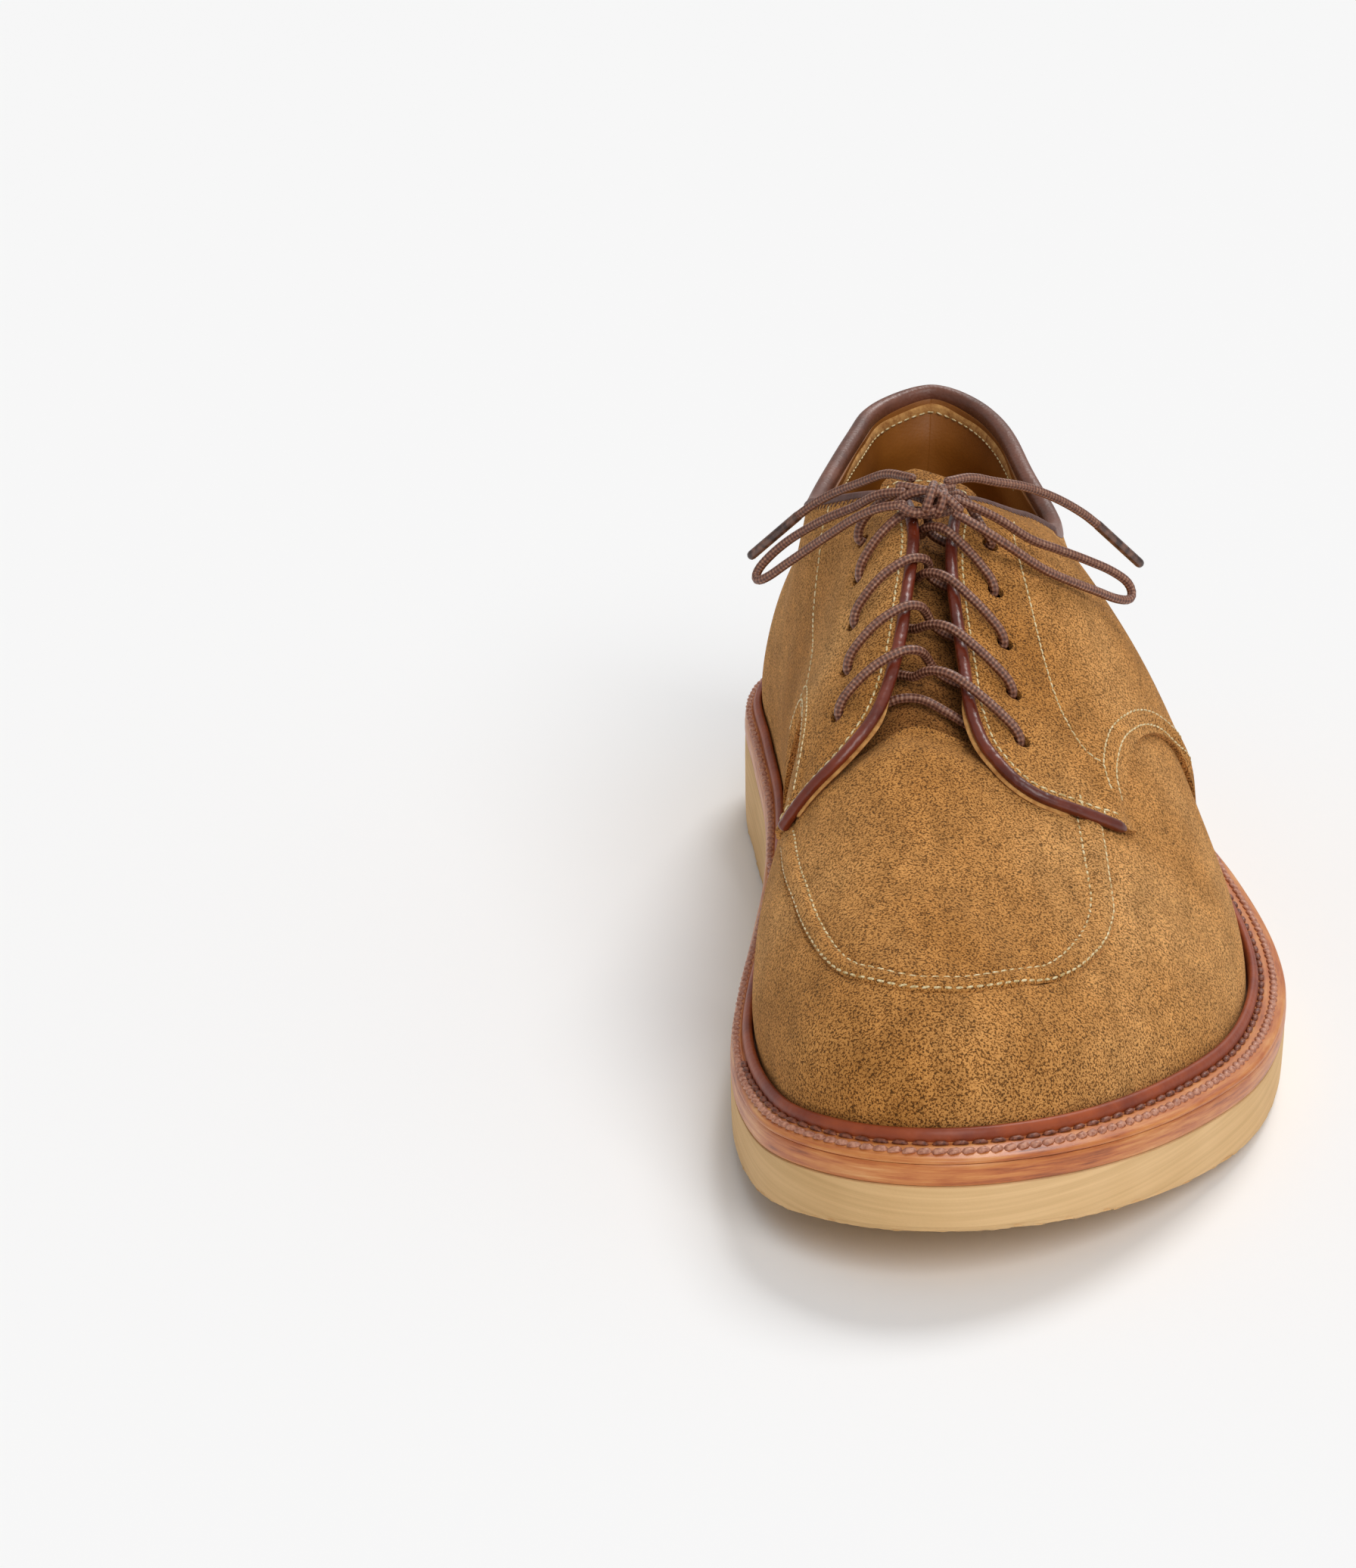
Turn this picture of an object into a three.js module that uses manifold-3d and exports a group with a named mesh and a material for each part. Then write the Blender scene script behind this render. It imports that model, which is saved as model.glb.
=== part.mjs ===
// A laced suede shoe with a moccasin toe, for the wearer's left foot, in millimetres, +Z up.
// The toe points towards -Y, the medial side is -X and the lateral side +X.
//
// Every upper piece is cut from one surface, the shoe's last. The last is a ring of stations
// around the sole's edge. From each station a rib rises from the sole to the top line: the
// ridge over the forefoot and instep, or the edge of the foot opening behind it. A place on
// the last is (u, v): u counts stations from the heel round the medial side, the toe and the
// lateral side, and v runs up the rib from 0 at the sole to 1 at the top. Leather pieces are
// sheets over a region of (u, v), at a stated depth under or height over that surface.

import * as THREE from 'three';
import { mergeVertices } from 'three/addons/utils/BufferGeometryUtils.js';
import Module from 'manifold-3d';

const wasm = await Module();
wasm.setup();

// Driving dimensions: overall sizes
const SOLE_LENGTH = 302.5;
const SOLE_WIDTH = 116;
const HEEL_TOP_HEIGHT = 101;

// Sole
const SOLE_AT_TOE = 12;
const SOLE_AT_HEEL = 23;
const TOE_SPRING = 9;
const TOE_ROUNDING = 2.5;
const MIDSOLE_THICKNESS = 4;
const WELT_THICKNESS = 2;
const WELT_LIP_HEIGHT = 2;
const WELT_LIP_WIDTH = 1.8;
const LOCKSTITCH_RADIUS = 0.7;
const CORK_THICKNESS = 2.2;
const INSOLE_THICKNESS = 2.5;
const SOCK_THICKNESS = 1;
const SHANK_LENGTH = 100;
const SHANK_WIDTH = 14;
const SHANK_THICKNESS = 1.2;

// Upper: thicknesses, and the clearance between pieces that touch on the real shoe
const CLEARANCE = 0.3;
const SUEDE = 1.4;
const LINING = 1;
const TOE_PUFF_THICKNESS = 0.8;
const TONGUE_THICKNESS = 1.8;
const FACING_STAY_THICKNESS = 1;
const HEEL_STRIP_THICKNESS = 1.1;
const FACING_BEAD_RADIUS = 1.1;
const TOPLINE_BEAD_RADIUS = 1.9;
const PIPING_RADIUS = 1.1;

// Lace
const LACE_DIAMETER = 2;
const EYELET_ROOM = 0.7;
const AGLET_DIAMETER = 2.2;
const AGLET_LENGTH = 16;

// Heights over the last, outward positive: the quarters lap over the vamp, the apron over the
// wall, and the puff, the linings, the lace's hidden runs and the tongue follow underneath
const QUARTER_BASE = 0.5;
const BEAD_HEIGHT = QUARTER_BASE + SUEDE / 2 + CLEARANCE;
const APRON_DIP = SUEDE + CLEARANCE;
const UNDER_QUARTER_DIP = 2 * CLEARANCE;
const STAY_TOP = -0.1;
const PUFF_TOP = -SUEDE - 2 * CLEARANCE;
const LINING_TOP = Math.min(-APRON_DIP - SUEDE - 0.4, PUFF_TOP - TOE_PUFF_THICKNESS - 2 * CLEARANCE);
const COUNTER_TOP = -CLEARANCE;
const LACE_RADIUS = LACE_DIAMETER / 2;
const EYELET_RADIUS = LACE_RADIUS + EYELET_ROOM;
const TONGUE_TOP = Math.min(LINING_TOP - LINING - 3 * CLEARANCE,
  STAY_TOP - FACING_STAY_THICKNESS - LACE_DIAMETER - 4 * CLEARANCE);
const LACE_UNDER = (STAY_TOP - FACING_STAY_THICKNESS + TONGUE_TOP) / 2;
const LACE_OVER = BEAD_HEIGHT + FACING_BEAD_RADIUS + LACE_RADIUS + 4 * CLEARANCE;
const LACE_ON_TONGUE = TONGUE_TOP + LACE_RADIUS + CLEARANCE;
const LACE_IN_HOLE = -0.9;

// Stations of the last. Each has the sole edge (x, y), the top point (x, y, z), how far the
// wall bulges and rises, the share of the rib that the crown takes, how far the crown drops,
// and how far the sole stands out beyond the upper.
const STATIONS = [
  [-1, 150, 1.5, 143, 101, 3.5, 27, 0.1, 26, 7.5],
  [-24, 144, -12, 134.5, 98.2, 3.5, 27, 0.1, 26, 7.1],
  [-39, 127, -17.3, 118, 95.8, 3.5, 27, 0.12, 24, 6.7],
  [-44.5, 103, -22.8, 97, 93.2, 3.5, 27, 0.15, 22, 6.5],
  [-43, 73, -28.8, 70, 90.7, 3, 29, 0.22, 18, 6.5],
  [-41, 40, -27, 50, 95, 3, 33, 0.42, 9, 6.5],
  [-42, 8, -8.5, 18, 101.5, 4, 39, 0.5, 3, 6.3],
  [-45, -20, -9.5, -14, 88.4, 5.5, 35, 0.48, 0, 5.6],
  [-48.5, -50, -11, -42, 74.5, 7, 30, 0.46, 0, 5.2],
  [-50.5, -80, -13, -66, 65.5, 6.5, 27, 0.46, 0, 5.4],
  [-49, -108, -15, -82, 60.5, 5, 24, 0.46, 0, 6],
  [-43.5, -131, -16, -92, 57.5, 3.5, 23, 0.47, 0, 6.6],
  [-31, -146.5, -16, -94, 57, 2.5, 22, 0.47, 0, 7.2],
  [-16, -152.5, -16, -94, 57, 2, 21, 0.47, 0, 7.6],
  [0, -149.5, -16, -94, 57, 2, 21, 0.47, 0, 7.8],
  [18, -138, -16, -94, 57, 2, 20, 0.46, 0, 8],
  [36, -118, -16, -92, 57.5, 1.5, 19, 0.44, 0, 8.2],
  [53, -90, -14, -72, 63.5, 1.5, 18, 0.42, 0, 8.2],
  [63, -58, -11.5, -46, 73, 1.5, 19, 0.42, 0, 8.2],
  [65.5, -28, -9.5, -20, 85.5, 2, 22, 0.46, 0, 8.2],
  [62, 5, -7, 18, 101.5, 3, 25, 0.56, 2, 8.4],
  [54, 40, 12, 44, 92.5, 4, 27, 0.56, 7, 8.4],
  [46.5, 73, 24.8, 66, 84.8, 3, 27, 0.28, 15, 8],
  [41.5, 103, 20.4, 95, 91, 3, 26, 0.15, 20, 7.5],
  [36, 128, 17.4, 118, 95.8, 3.5, 27, 0.12, 24, 7.5],
  [21, 144, 11.8, 135, 98.8, 3.5, 27, 0.1, 26, 7.5],
];
const COUNT = STATIONS.length;
const TOE = COUNT / 2;
const LAST_LENGTH = 302.5;
const LAST_WIDTH = 116;
const LAST_HEIGHT = 101;
const STRETCH_X = SOLE_WIDTH / LAST_WIDTH;
const STRETCH_Y = SOLE_LENGTH / LAST_LENGTH;
const STRETCH_Z = HEEL_TOP_HEIGHT / LAST_HEIGHT;

// The apron's seam line round the toe, and the top edge of the vamp wall, as v over u
const SEAM = [
  [8.1, 0.38], [8.3, 0.4], [9.2, 0.46], [10, 0.49], [10.6, 0.51], [11.7, 0.54], [12.5, 0.55],
  [13.5, 0.55], [14.4, 0.54], [15.1, 0.53], [15.7, 0.5], [16.1, 0.49], [16.6, 0.49], [17, 0.51],
  [17.4, 0.55], [17.8, 0.58], [18.1, 0.6],
];
const WALL_TOP = [
  [5.7, 0.12], [6, 0.32], [6.4, 0.46], [7, 0.52], [7.6, 0.53], [8.3, 0.48], [9.2, 0.53],
  [10.1, 0.56], [11, 0.58], [12.2, 0.6], [13.5, 0.6], [14.5, 0.59], [15.4, 0.56], [16.1, 0.54],
  [16.5, 0.55], [17.1, 0.57], [17.6, 0.61], [18.2, 0.62], [18.8, 0.63], [19.3, 0.6],
  [19.7, 0.5], [20.1, 0.38], [20.5, 0.15],
];

// Quarters: lower edge (u, v) and upper edge (u, v), from the heel to the tip of the tab
const TOPLINE_V = 0.955;
const MEDIAL_QUARTER = [
  [0.03, 0, 0.03, TOPLINE_V], [1, 0, 1, TOPLINE_V], [2, 0, 2, TOPLINE_V], [3, 0, 3, TOPLINE_V],
  [4, 0, 4, TOPLINE_V], [5, 0, 5, 0.965], [5.6, 0, 5.75, 0.96], [5.95, 0.18, 6.1, 0.885],
  [6.35, 0.35, 6.5, 0.87], [6.8, 0.43, 7, 0.85], [7.3, 0.455, 7.5, 0.82],
  [7.7, 0.45, 7.9, 0.75], [7.9, 0.42, 8.02, 0.62], [8, 0.37, 8.08, 0.46],
];
const LATERAL_QUARTER = [
  [25.97, 0, 25.97, TOPLINE_V], [25, 0, 25, TOPLINE_V], [24, 0, 24, TOPLINE_V],
  [23, 0, 23, TOPLINE_V], [22, 0, 22, TOPLINE_V], [21, 0, 21, 0.965], [20.5, 0, 20.35, 0.96],
  [20.12, 0.22, 19.95, 0.905], [19.75, 0.4, 19.5, 0.905], [19.3, 0.51, 19.15, 0.9],
  [18.9, 0.545, 18.75, 0.88], [18.5, 0.55, 18.3, 0.85], [18.3, 0.54, 17.95, 0.79],
  [18.22, 0.52, 17.88, 0.68], [18.2, 0.48, 18.1, 0.56],
];
// The stays that stiffen the facings round the eyelets, in the same form
const MEDIAL_STAY = [
  [5.68, 0.62, 5.72, 0.93], [6.1, 0.565, 6.15, 0.865], [6.5, 0.565, 6.5, 0.855],
  [7, 0.565, 7, 0.835], [7.62, 0.56, 7.56, 0.79],
];
const LATERAL_STAY = [
  [20.12, 0.72, 20.08, 0.92], [19.6, 0.68, 19.5, 0.89], [19, 0.66, 18.95, 0.875],
  [18.2, 0.66, 18.18, 0.83],
];
// Where the top piping ends and the facing binding begins, as rows of the lists above
const TOP_CORNER_ROW = 4;
const FACING_ROW = 7;

// Eyelets (u, v), from the lowest pair to the top pair
const MEDIAL_EYELETS = [[7.56, 0.63], [7.18, 0.66], [6.74, 0.675], [6.28, 0.685], [5.88, 0.74]];
const LATERAL_EYELETS = [[18.28, 0.78], [18.76, 0.8], [19.18, 0.82], [19.52, 0.84], [19.86, 0.86]];

// The bow's free lengths of lace: points chosen by hand along each route
const KNOT = [-7.6, 6.5, 106];
const KNOT_SIZE = [5.2, 4.4, 3.4];
const MEDIAL_LOOP = [
  [-13.2, 9.8, 107.2], [-18, 13, 105.8], [-23, 18, 101.6], [-28, 22.5, 98.2], [-32.5, 26.5, 94.6],
  [-37, 30, 90.6], [-41, 32, 86.4], [-43.6, 32.3, 83], [-43.8, 30, 81.6], [-41.6, 27.6, 83],
  [-37.6, 24.6, 86.8], [-33, 21, 91.2], [-28, 16.8, 96], [-23, 12.6, 100.6], [-18, 8.6, 104],
  [-13.2, 6, 105.4],
];
const LATERAL_LOOP = [
  [-2, 7.4, 106.2], [2.5, 7.8, 104.2], [8.2, 8.8, 101], [14.5, 11, 96.4], [21, 14.2, 93.2],
  [28, 18, 89.6], [34, 21.6, 86], [38, 23.6, 82.4], [38.4, 22.4, 79.8], [35, 19, 80.6],
  [29.6, 14.4, 83.8], [23.4, 9.6, 87.4], [16.8, 5.6, 91.4], [10, 2.8, 96.6], [3.6, 2.2, 101],
  [-2, 3.6, 104],
];
const MEDIAL_END = [
  [-11, 13, 109.4], [-16, 19.5, 108.6], [-21.5, 25.5, 105], [-27, 31, 101.2], [-31.2, 35, 97.6],
  [-34.4, 37.6, 94.4],
];
const MEDIAL_AGLET_TIP = [-44.6, 44, 83.4];
const LATERAL_END = [
  [-3.4, 11.6, 109], [1.5, 15.6, 108.8], [7.5, 20.4, 106.6], [14.5, 26, 104], [22, 32, 99.8],
  [28.5, 37.2, 95], [32.2, 40, 91.6],
];
const LATERAL_AGLET_TIP = [43, 46.5, 80.6];

// Numbers of steps
const SHEET_RISE_STEPS = 7;
const SEAM_STEPS = 37;
const QUARTER_STEPS = 24;
const RING_STEPS = COUNT * 2;
const RUNGS = 30;
const LACE_SIDES = 8;

// ---------- Curves and the last's surface ----------

const smooth = (low, high, x) => {
  const t = Math.min(Math.max((x - low) / (high - low), 0), 1);
  return t * t * (3 - 2 * t);
};

const mix = (a, b, t) => a + (b - a) * t;

// One span of a Catmull-Rom spline, for each number in the four rows
function span(p0, p1, p2, p3, t) {
  return p1.map((middle, k) => 0.5 * (2 * middle + (p2[k] - p0[k]) * t
    + (2 * p0[k] - 5 * middle + 4 * p2[k] - p3[k]) * t * t
    + (3 * middle - p0[k] - 3 * p2[k] + p3[k]) * t * t * t));
}

// A row of an open list of rows, at a place counted in rows
function alongRows(rows, place) {
  const i = Math.min(Math.max(Math.floor(place), 0), rows.length - 2);
  const at = (k) => rows[Math.min(Math.max(k, 0), rows.length - 1)];
  return span(at(i - 1), at(i), at(i + 1), at(i + 2), place - i);
}

// v at u, from a list of (u, v)
function heightAt(list, u) {
  const last = list.length - 1;
  if (u <= list[0][0]) return list[0][1];
  if (u >= list[last][0]) return list[last][1];
  const i = list.findIndex((row) => row[0] > u) - 1;
  return mix(list[i][1], list[i + 1][1], (u - list[i][0]) / (list[i + 1][0] - list[i][0]));
}

function stationAt(u) {
  const i = Math.floor(u);
  const at = (k) => STATIONS[((k % COUNT) + COUNT) % COUNT];
  const s = span(at(i - 1), at(i), at(i + 1), at(i + 2), u - i);
  return {
    edge: new THREE.Vector2(s[0] * STRETCH_X, s[1] * STRETCH_Y),
    top: new THREE.Vector3(s[2] * STRETCH_X, s[3] * STRETCH_Y, s[4] * STRETCH_Z),
    bulge: s[5], rise: s[6] * STRETCH_Z, crown: s[7], drop: s[8], reach: s[9],
  };
}

const toeShare = (y) => Math.max(0, (-55 * STRETCH_Y - y) / (97 * STRETCH_Y)) ** 1.9;
const groundHeight = (y) => (TOE_SPRING + TOE_ROUNDING) * toeShare(y);
const deckHeight = (y) => SOLE_AT_TOE + TOE_SPRING * toeShare(y)
  + (SOLE_AT_HEEL - SOLE_AT_TOE) * smooth(-55 * STRETCH_Y, 105 * STRETCH_Y, y);

const SEAT = CLEARANCE + MIDSOLE_THICKNESS;
const UPPER_FOOT = SEAT + 0.4;

// A point at an inset from the sole's edge, in plan
function inside(u, inset) {
  const step = 0.001;
  const tangent = stationAt(u + step).edge.sub(stationAt(u - step).edge).normalize();
  const edge = stationAt(u).edge;
  return new THREE.Vector2(edge.x - tangent.y * inset, edge.y + tangent.x * inset);
}

const tiltAt = (y) => 0.1 + 0.16 * smooth(-90 * STRETCH_Y, -20 * STRETCH_Y, y);
const RIDGE_SLOPE = [[-94, 0.27], [-68, 0.33], [-45, 0.42], [-20, 0.47], [8, 0.42], [40, 0]];

function lastPoint(u, v) {
  const s = stationAt(u);
  const foot2 = inside(u, s.reach);
  const foot = new THREE.Vector3(foot2.x, foot2.y, deckHeight(s.edge.y) + UPPER_FOOT);
  const out = s.edge.clone().sub(foot2).normalize();
  const wall = foot.clone().add(new THREE.Vector3(out.x * s.bulge, out.y * s.bulge, s.rise));
  const reach = foot.clone().sub(s.top).multiplyScalar(s.crown);
  const level = Math.max(0, 1 - s.drop / 8);
  const fall = (-tiltAt(s.top.y) * reach.x + heightAt(RIDGE_SLOPE, s.top.y) * reach.y) * level - s.drop;
  const crown = s.top.clone().add(new THREE.Vector3(reach.x, reach.y, fall));
  const w = 1 - v;
  return foot.multiplyScalar(w ** 3).addScaledVector(wall, 3 * w * w * v)
    .addScaledVector(crown, 3 * w * v * v).addScaledVector(s.top, v ** 3);
}

function lastNormal(u, v) {
  const step = 0.01;
  const inner = Math.min(Math.max(v, step), 1 - 2 * step);
  const along = lastPoint(u + step, inner).sub(lastPoint(u - step, inner));
  const up = lastPoint(u, inner + step).sub(lastPoint(u, inner - step));
  return along.cross(up).normalize();
}

// A point over (positive) or under the last
const offLast = (u, v, height) => lastPoint(u, v).addScaledVector(lastNormal(u, v), height);

// ---------- Solids ----------

function geometryFrom(positions, faces) {
  const geometry = new THREE.BufferGeometry();
  geometry.setAttribute('position', new THREE.Float32BufferAttribute(positions, 3));
  geometry.setIndex(faces);
  let volume = 0;
  const point = (i) => new THREE.Vector3().fromArray(positions, 3 * i);
  for (let f = 0; f < faces.length; f += 3) {
    volume += point(faces[f]).dot(point(faces[f + 1]).cross(point(faces[f + 2])));
  }
  if (volume < 0) {
    for (let f = 0; f < faces.length; f += 3) faces.splice(f, 2, faces[f + 1], faces[f]);
    geometry.setIndex(faces);
  }
  return geometry;
}

// A skin is points with four-sided or three-sided cells; thicken() makes it a closed sheet.
class Skin {
  constructor() {
    this.points = [];
    this.normals = [];
    this.keys = new Map();
    this.cells = [];
  }

  add(point, normal) {
    const key = point.toArray().map((x) => Math.round(x * 1000)).join();
    if (this.keys.has(key)) {
      this.normals[this.keys.get(key)].add(normal);
    } else {
      this.keys.set(key, this.points.length);
      this.points.push(point);
      this.normals.push(normal.clone());
    }
    return this.keys.get(key);
  }

  place(u, v, lift = 0) {
    return this.add(offLast(u, v, lift), lastNormal(u, v));
  }

  grid(rows) {
    for (let i = 0; i + 1 < rows.length; i += 1) {
      for (let j = 0; j + 1 < rows[i].length; j += 1) {
        const cell = [rows[i][j], rows[i + 1][j], rows[i + 1][j + 1], rows[i][j + 1]];
        const corners = cell.filter((corner, k) => corner !== cell[(k + 1) % 4]);
        if (corners.length > 2) this.cells.push(corners);
      }
    }
  }

  // A closed sheet between two heights over the skin, counted along its normals
  thicken(low, high) {
    const triangles = this.cells.flatMap((c) => (c.length === 4
      ? [[c[0], c[1], c[2]], [c[0], c[2], c[3]]] : [c]));
    this.normals.forEach((normal) => normal.normalize());
    const size = this.points.length;
    const positions = [high, low].flatMap((height) => this.points.flatMap((point, i) => (
      point.clone().addScaledVector(this.normals[i], height).toArray())));
    const faces = [];
    const edges = new Map();
    for (const [a, b, c] of triangles) {
      faces.push(a, b, c, size + c, size + b, size + a);
      for (const [p, q] of [[a, b], [b, c], [c, a]]) {
        if (edges.has(`${q},${p}`)) edges.delete(`${q},${p}`);
        else edges.set(`${p},${q}`, [p, q]);
      }
    }
    for (const [p, q] of edges.values()) faces.push(q, p, size + p, q, size + p, size + q);
    return geometryFrom(positions, faces);
  }
}

// A sheet over rows of (u, v); lift(u, v) moves a place up or down from the sheet's own height
function sheet(rows, low, high, lift = () => 0) {
  const skin = new Skin();
  skin.grid(rows.map((row) => row.map(([u, v]) => skin.place(u, v, lift(u, v)))));
  return skin.thicken(low, high);
}

// Rows of (u, v) between a lower and an upper edge, from a list of edge pairs
function rowsBetween(pairs, steps, rises, first = 0, last = pairs.length - 1) {
  return Array.from({ length: steps + 1 }, (_, i) => {
    const row = alongRows(pairs, mix(first, last, i / steps));
    const low = Math.min(Math.max(row[1], 0), 1);
    const high = Math.min(Math.max(row[3], 0), 1);
    return Array.from({ length: rises + 1 }, (__, j) => (
      [mix(row[0], row[2], j / rises), mix(low, high, j / rises)]));
  });
}

// The station, on one side, whose top point lies at a given y on the ridge
function ridgeStation(y, behind, ahead) {
  let [low, high] = [behind, ahead];
  for (let i = 0; i < 40; i += 1) {
    const middle = (low + high) / 2;
    if (stationAt(middle).top.y > y) low = middle;
    else high = middle;
  }
  return (low + high) / 2;
}
const MEDIAL_INSTEP = 6;
const LATERAL_INSTEP = 20;
const RIDGE_END_MEDIAL = 12;
const RIDGE_END_LATERAL = 16;
const medialStation = (y) => ridgeStation(y, MEDIAL_INSTEP, RIDGE_END_MEDIAL);
const lateralStation = (y) => ridgeStation(y, LATERAL_INSTEP, RIDGE_END_LATERAL);

// Rows that cross the ridge from the medial to the lateral side, at even steps of station
function ridgeRows(skin, from, to, steps, medialFoot, lateralFoot, rises) {
  return Array.from({ length: steps + 1 }, (_, i) => {
    const m = mix(medialStation(from), medialStation(to), i / steps);
    const l = lateralStation(stationAt(m).top.y);
    const climb = Array.from({ length: rises + 1 }, (__, j) => (
      skin.place(m, mix(medialFoot(m), 1, j / rises))));
    const descend = Array.from({ length: rises }, (__, j) => (
      skin.place(l, mix(1, lateralFoot(l), (j + 1) / rises))));
    return [...climb, ...descend];
  });
}

// A cap over the forefoot: rows across the ridge, then a fan of ribs round the toe
function cap(from, foot, low, high, steps, rises) {
  const skin = new Skin();
  const ridgeEnd = stationAt(TOE).top.y + 0.04;
  const rows = ridgeRows(skin, from, ridgeEnd, steps, foot, foot, rises);
  skin.grid(rows);
  const lastRow = rows[rows.length - 1];
  const apex = lastRow[rises];
  const ribs = 10;
  const fan = Array.from({ length: ribs + 1 }, (_, i) => {
    if (i === 0) return lastRow.slice(0, rises + 1);
    if (i === ribs) return lastRow.slice(rises).reverse();
    const u = mix(medialStation(ridgeEnd), lateralStation(ridgeEnd), i / ribs);
    const rib = Array.from({ length: rises }, (__, j) => skin.place(u, mix(foot(u), 1, j / rises)));
    return [...rib, apex];
  });
  skin.grid(fan);
  return skin.thicken(low, high);
}

// A slab that fills the sole's outline at an inset, between two heights over the deck
function slab(inset, bottom, top) {
  const positions = [];
  const faces = [];
  const ring = [];
  for (let i = 0; i < 2 * RUNGS; i += 1) {
    const u = (COUNT * i) / (2 * RUNGS);
    const p = inside(u, inset(u));
    const y = stationAt(u).edge.y;
    positions.push(p.x, p.y, top(y), p.x, p.y, bottom(y));
    ring.push(i);
  }
  const upper = (i) => 2 * (i % (2 * RUNGS));
  const lower = (i) => upper(i) + 1;
  for (const i of ring) {
    faces.push(upper(i), upper(i + 1), lower(i), upper(i + 1), lower(i + 1), lower(i));
  }
  for (let k = 0; k < RUNGS; k += 1) {
    const [a, b, c, d] = [k, k + 1, 2 * RUNGS - k - 1, 2 * RUNGS - k];
    const quads = k === 0 ? [[a, b, c]] : k === RUNGS - 1 ? [[a, b, d]] : [[a, b, c], [a, c, d]];
    for (const [p, q, r] of quads) {
      faces.push(upper(p), upper(r), upper(q), lower(p), lower(q), lower(r));
    }
  }
  return geometryFrom(positions, faces);
}

// A closed ring round the sole: section(u) gives (inset, height over the deck) points
function ring(section) {
  const positions = [];
  const faces = [];
  let sides = 0;
  for (let i = 0; i < RING_STEPS; i += 1) {
    const u = (COUNT * i) / RING_STEPS;
    const points = section(u);
    sides = points.length;
    for (const [inset, height] of points) {
      const p = inside(u, inset);
      positions.push(p.x, p.y, deckHeight(stationAt(u).edge.y) + height);
    }
  }
  const at = (i, j) => (i % RING_STEPS) * sides + (j % sides);
  for (let i = 0; i < RING_STEPS; i += 1) {
    for (let j = 0; j < sides; j += 1) {
      faces.push(at(i, j), at(i + 1, j), at(i, j + 1));
      faces.push(at(i + 1, j), at(i + 1, j + 1), at(i, j + 1));
    }
  }
  return geometryFrom(positions, faces);
}

function tube(points, radius, steps, sides = LACE_SIDES) {
  const path = new THREE.CatmullRomCurve3(points, false, 'centripetal');
  const section = new THREE.Shape(Array.from({ length: sides }, (_, i) => {
    const angle = (2 * Math.PI * i) / sides;
    return new THREE.Vector2(radius * Math.cos(angle), radius * Math.sin(angle));
  }));
  return new THREE.ExtrudeGeometry(section, { steps, extrudePath: path, bevelEnabled: false });
}

// ---------- Boolean cuts ----------

function toManifold(geometry) {
  const bare = geometry.clone();
  bare.deleteAttribute('normal');
  bare.deleteAttribute('uv');
  const merged = mergeVertices(bare, 1e-4);
  return new wasm.Manifold(new wasm.Mesh({
    numProp: 3,
    vertProperties: new Float32Array(merged.attributes.position.array),
    triVerts: new Uint32Array(merged.index.array),
  }));
}

function cut(geometry, cutters) {
  let solid = toManifold(geometry);
  for (const cutter of cutters) solid = solid.subtract(toManifold(cutter));
  const mesh = solid.getMesh();
  const result = new THREE.BufferGeometry();
  result.setAttribute('position', new THREE.Float32BufferAttribute(mesh.vertProperties, 3));
  result.setIndex(Array.from(mesh.triVerts));
  return result;
}

// Straight punches through the leather at the eyelets, square to the surface
function punches(eyelets) {
  const length = 12;
  const sides = 12;
  return eyelets.map(([u, v]) => {
    const punch = new THREE.CylinderGeometry(EYELET_RADIUS, EYELET_RADIUS, length, sides);
    const turn = new THREE.Quaternion()
      .setFromUnitVectors(new THREE.Vector3(0, 1, 0), lastNormal(u, v));
    punch.applyQuaternion(turn);
    const centre = lastPoint(u, v);
    return punch.translate(centre.x, centre.y, centre.z);
  });
}

// ---------- The shoe ----------

const shoe = new THREE.Group();
const colours = {
  suede: [0x9a6f35, 0.95], lining: [0xb5793a, 0.7], binding: [0x5c2418, 0.45],
  welt: [0x6e3320, 0.5], midsole: [0xb8703f, 0.6], foam: [0xd2b483, 0.85], lace: [0x6b4536, 0.6],
  thread: [0xb98a78, 0.7], board: [0xa98258, 0.9], cork: [0x9c7348, 0.95], aglet: [0x4a2f25, 0.3],
};

function addPart(name, finish, geometry) {
  const [color, roughness] = colours[finish];
  const mesh = new THREE.Mesh(geometry, new THREE.MeshStandardMaterial({ color, roughness }));
  mesh.name = name;
  shoe.add(mesh);
}

const reachAt = (u) => stationAt(u).reach;
const over = (height) => (y) => deckHeight(y) + height;

// How far the upper's outer face stands out from the last at the sole: a quarter thicker at the back
const quarterShare = (u) => 1 - smooth(5.95, 6.4, u) + smooth(19.7, 20.1, u);
const upperOut = (u) => quarterShare(u) * (QUARTER_BASE + SUEDE);

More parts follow.
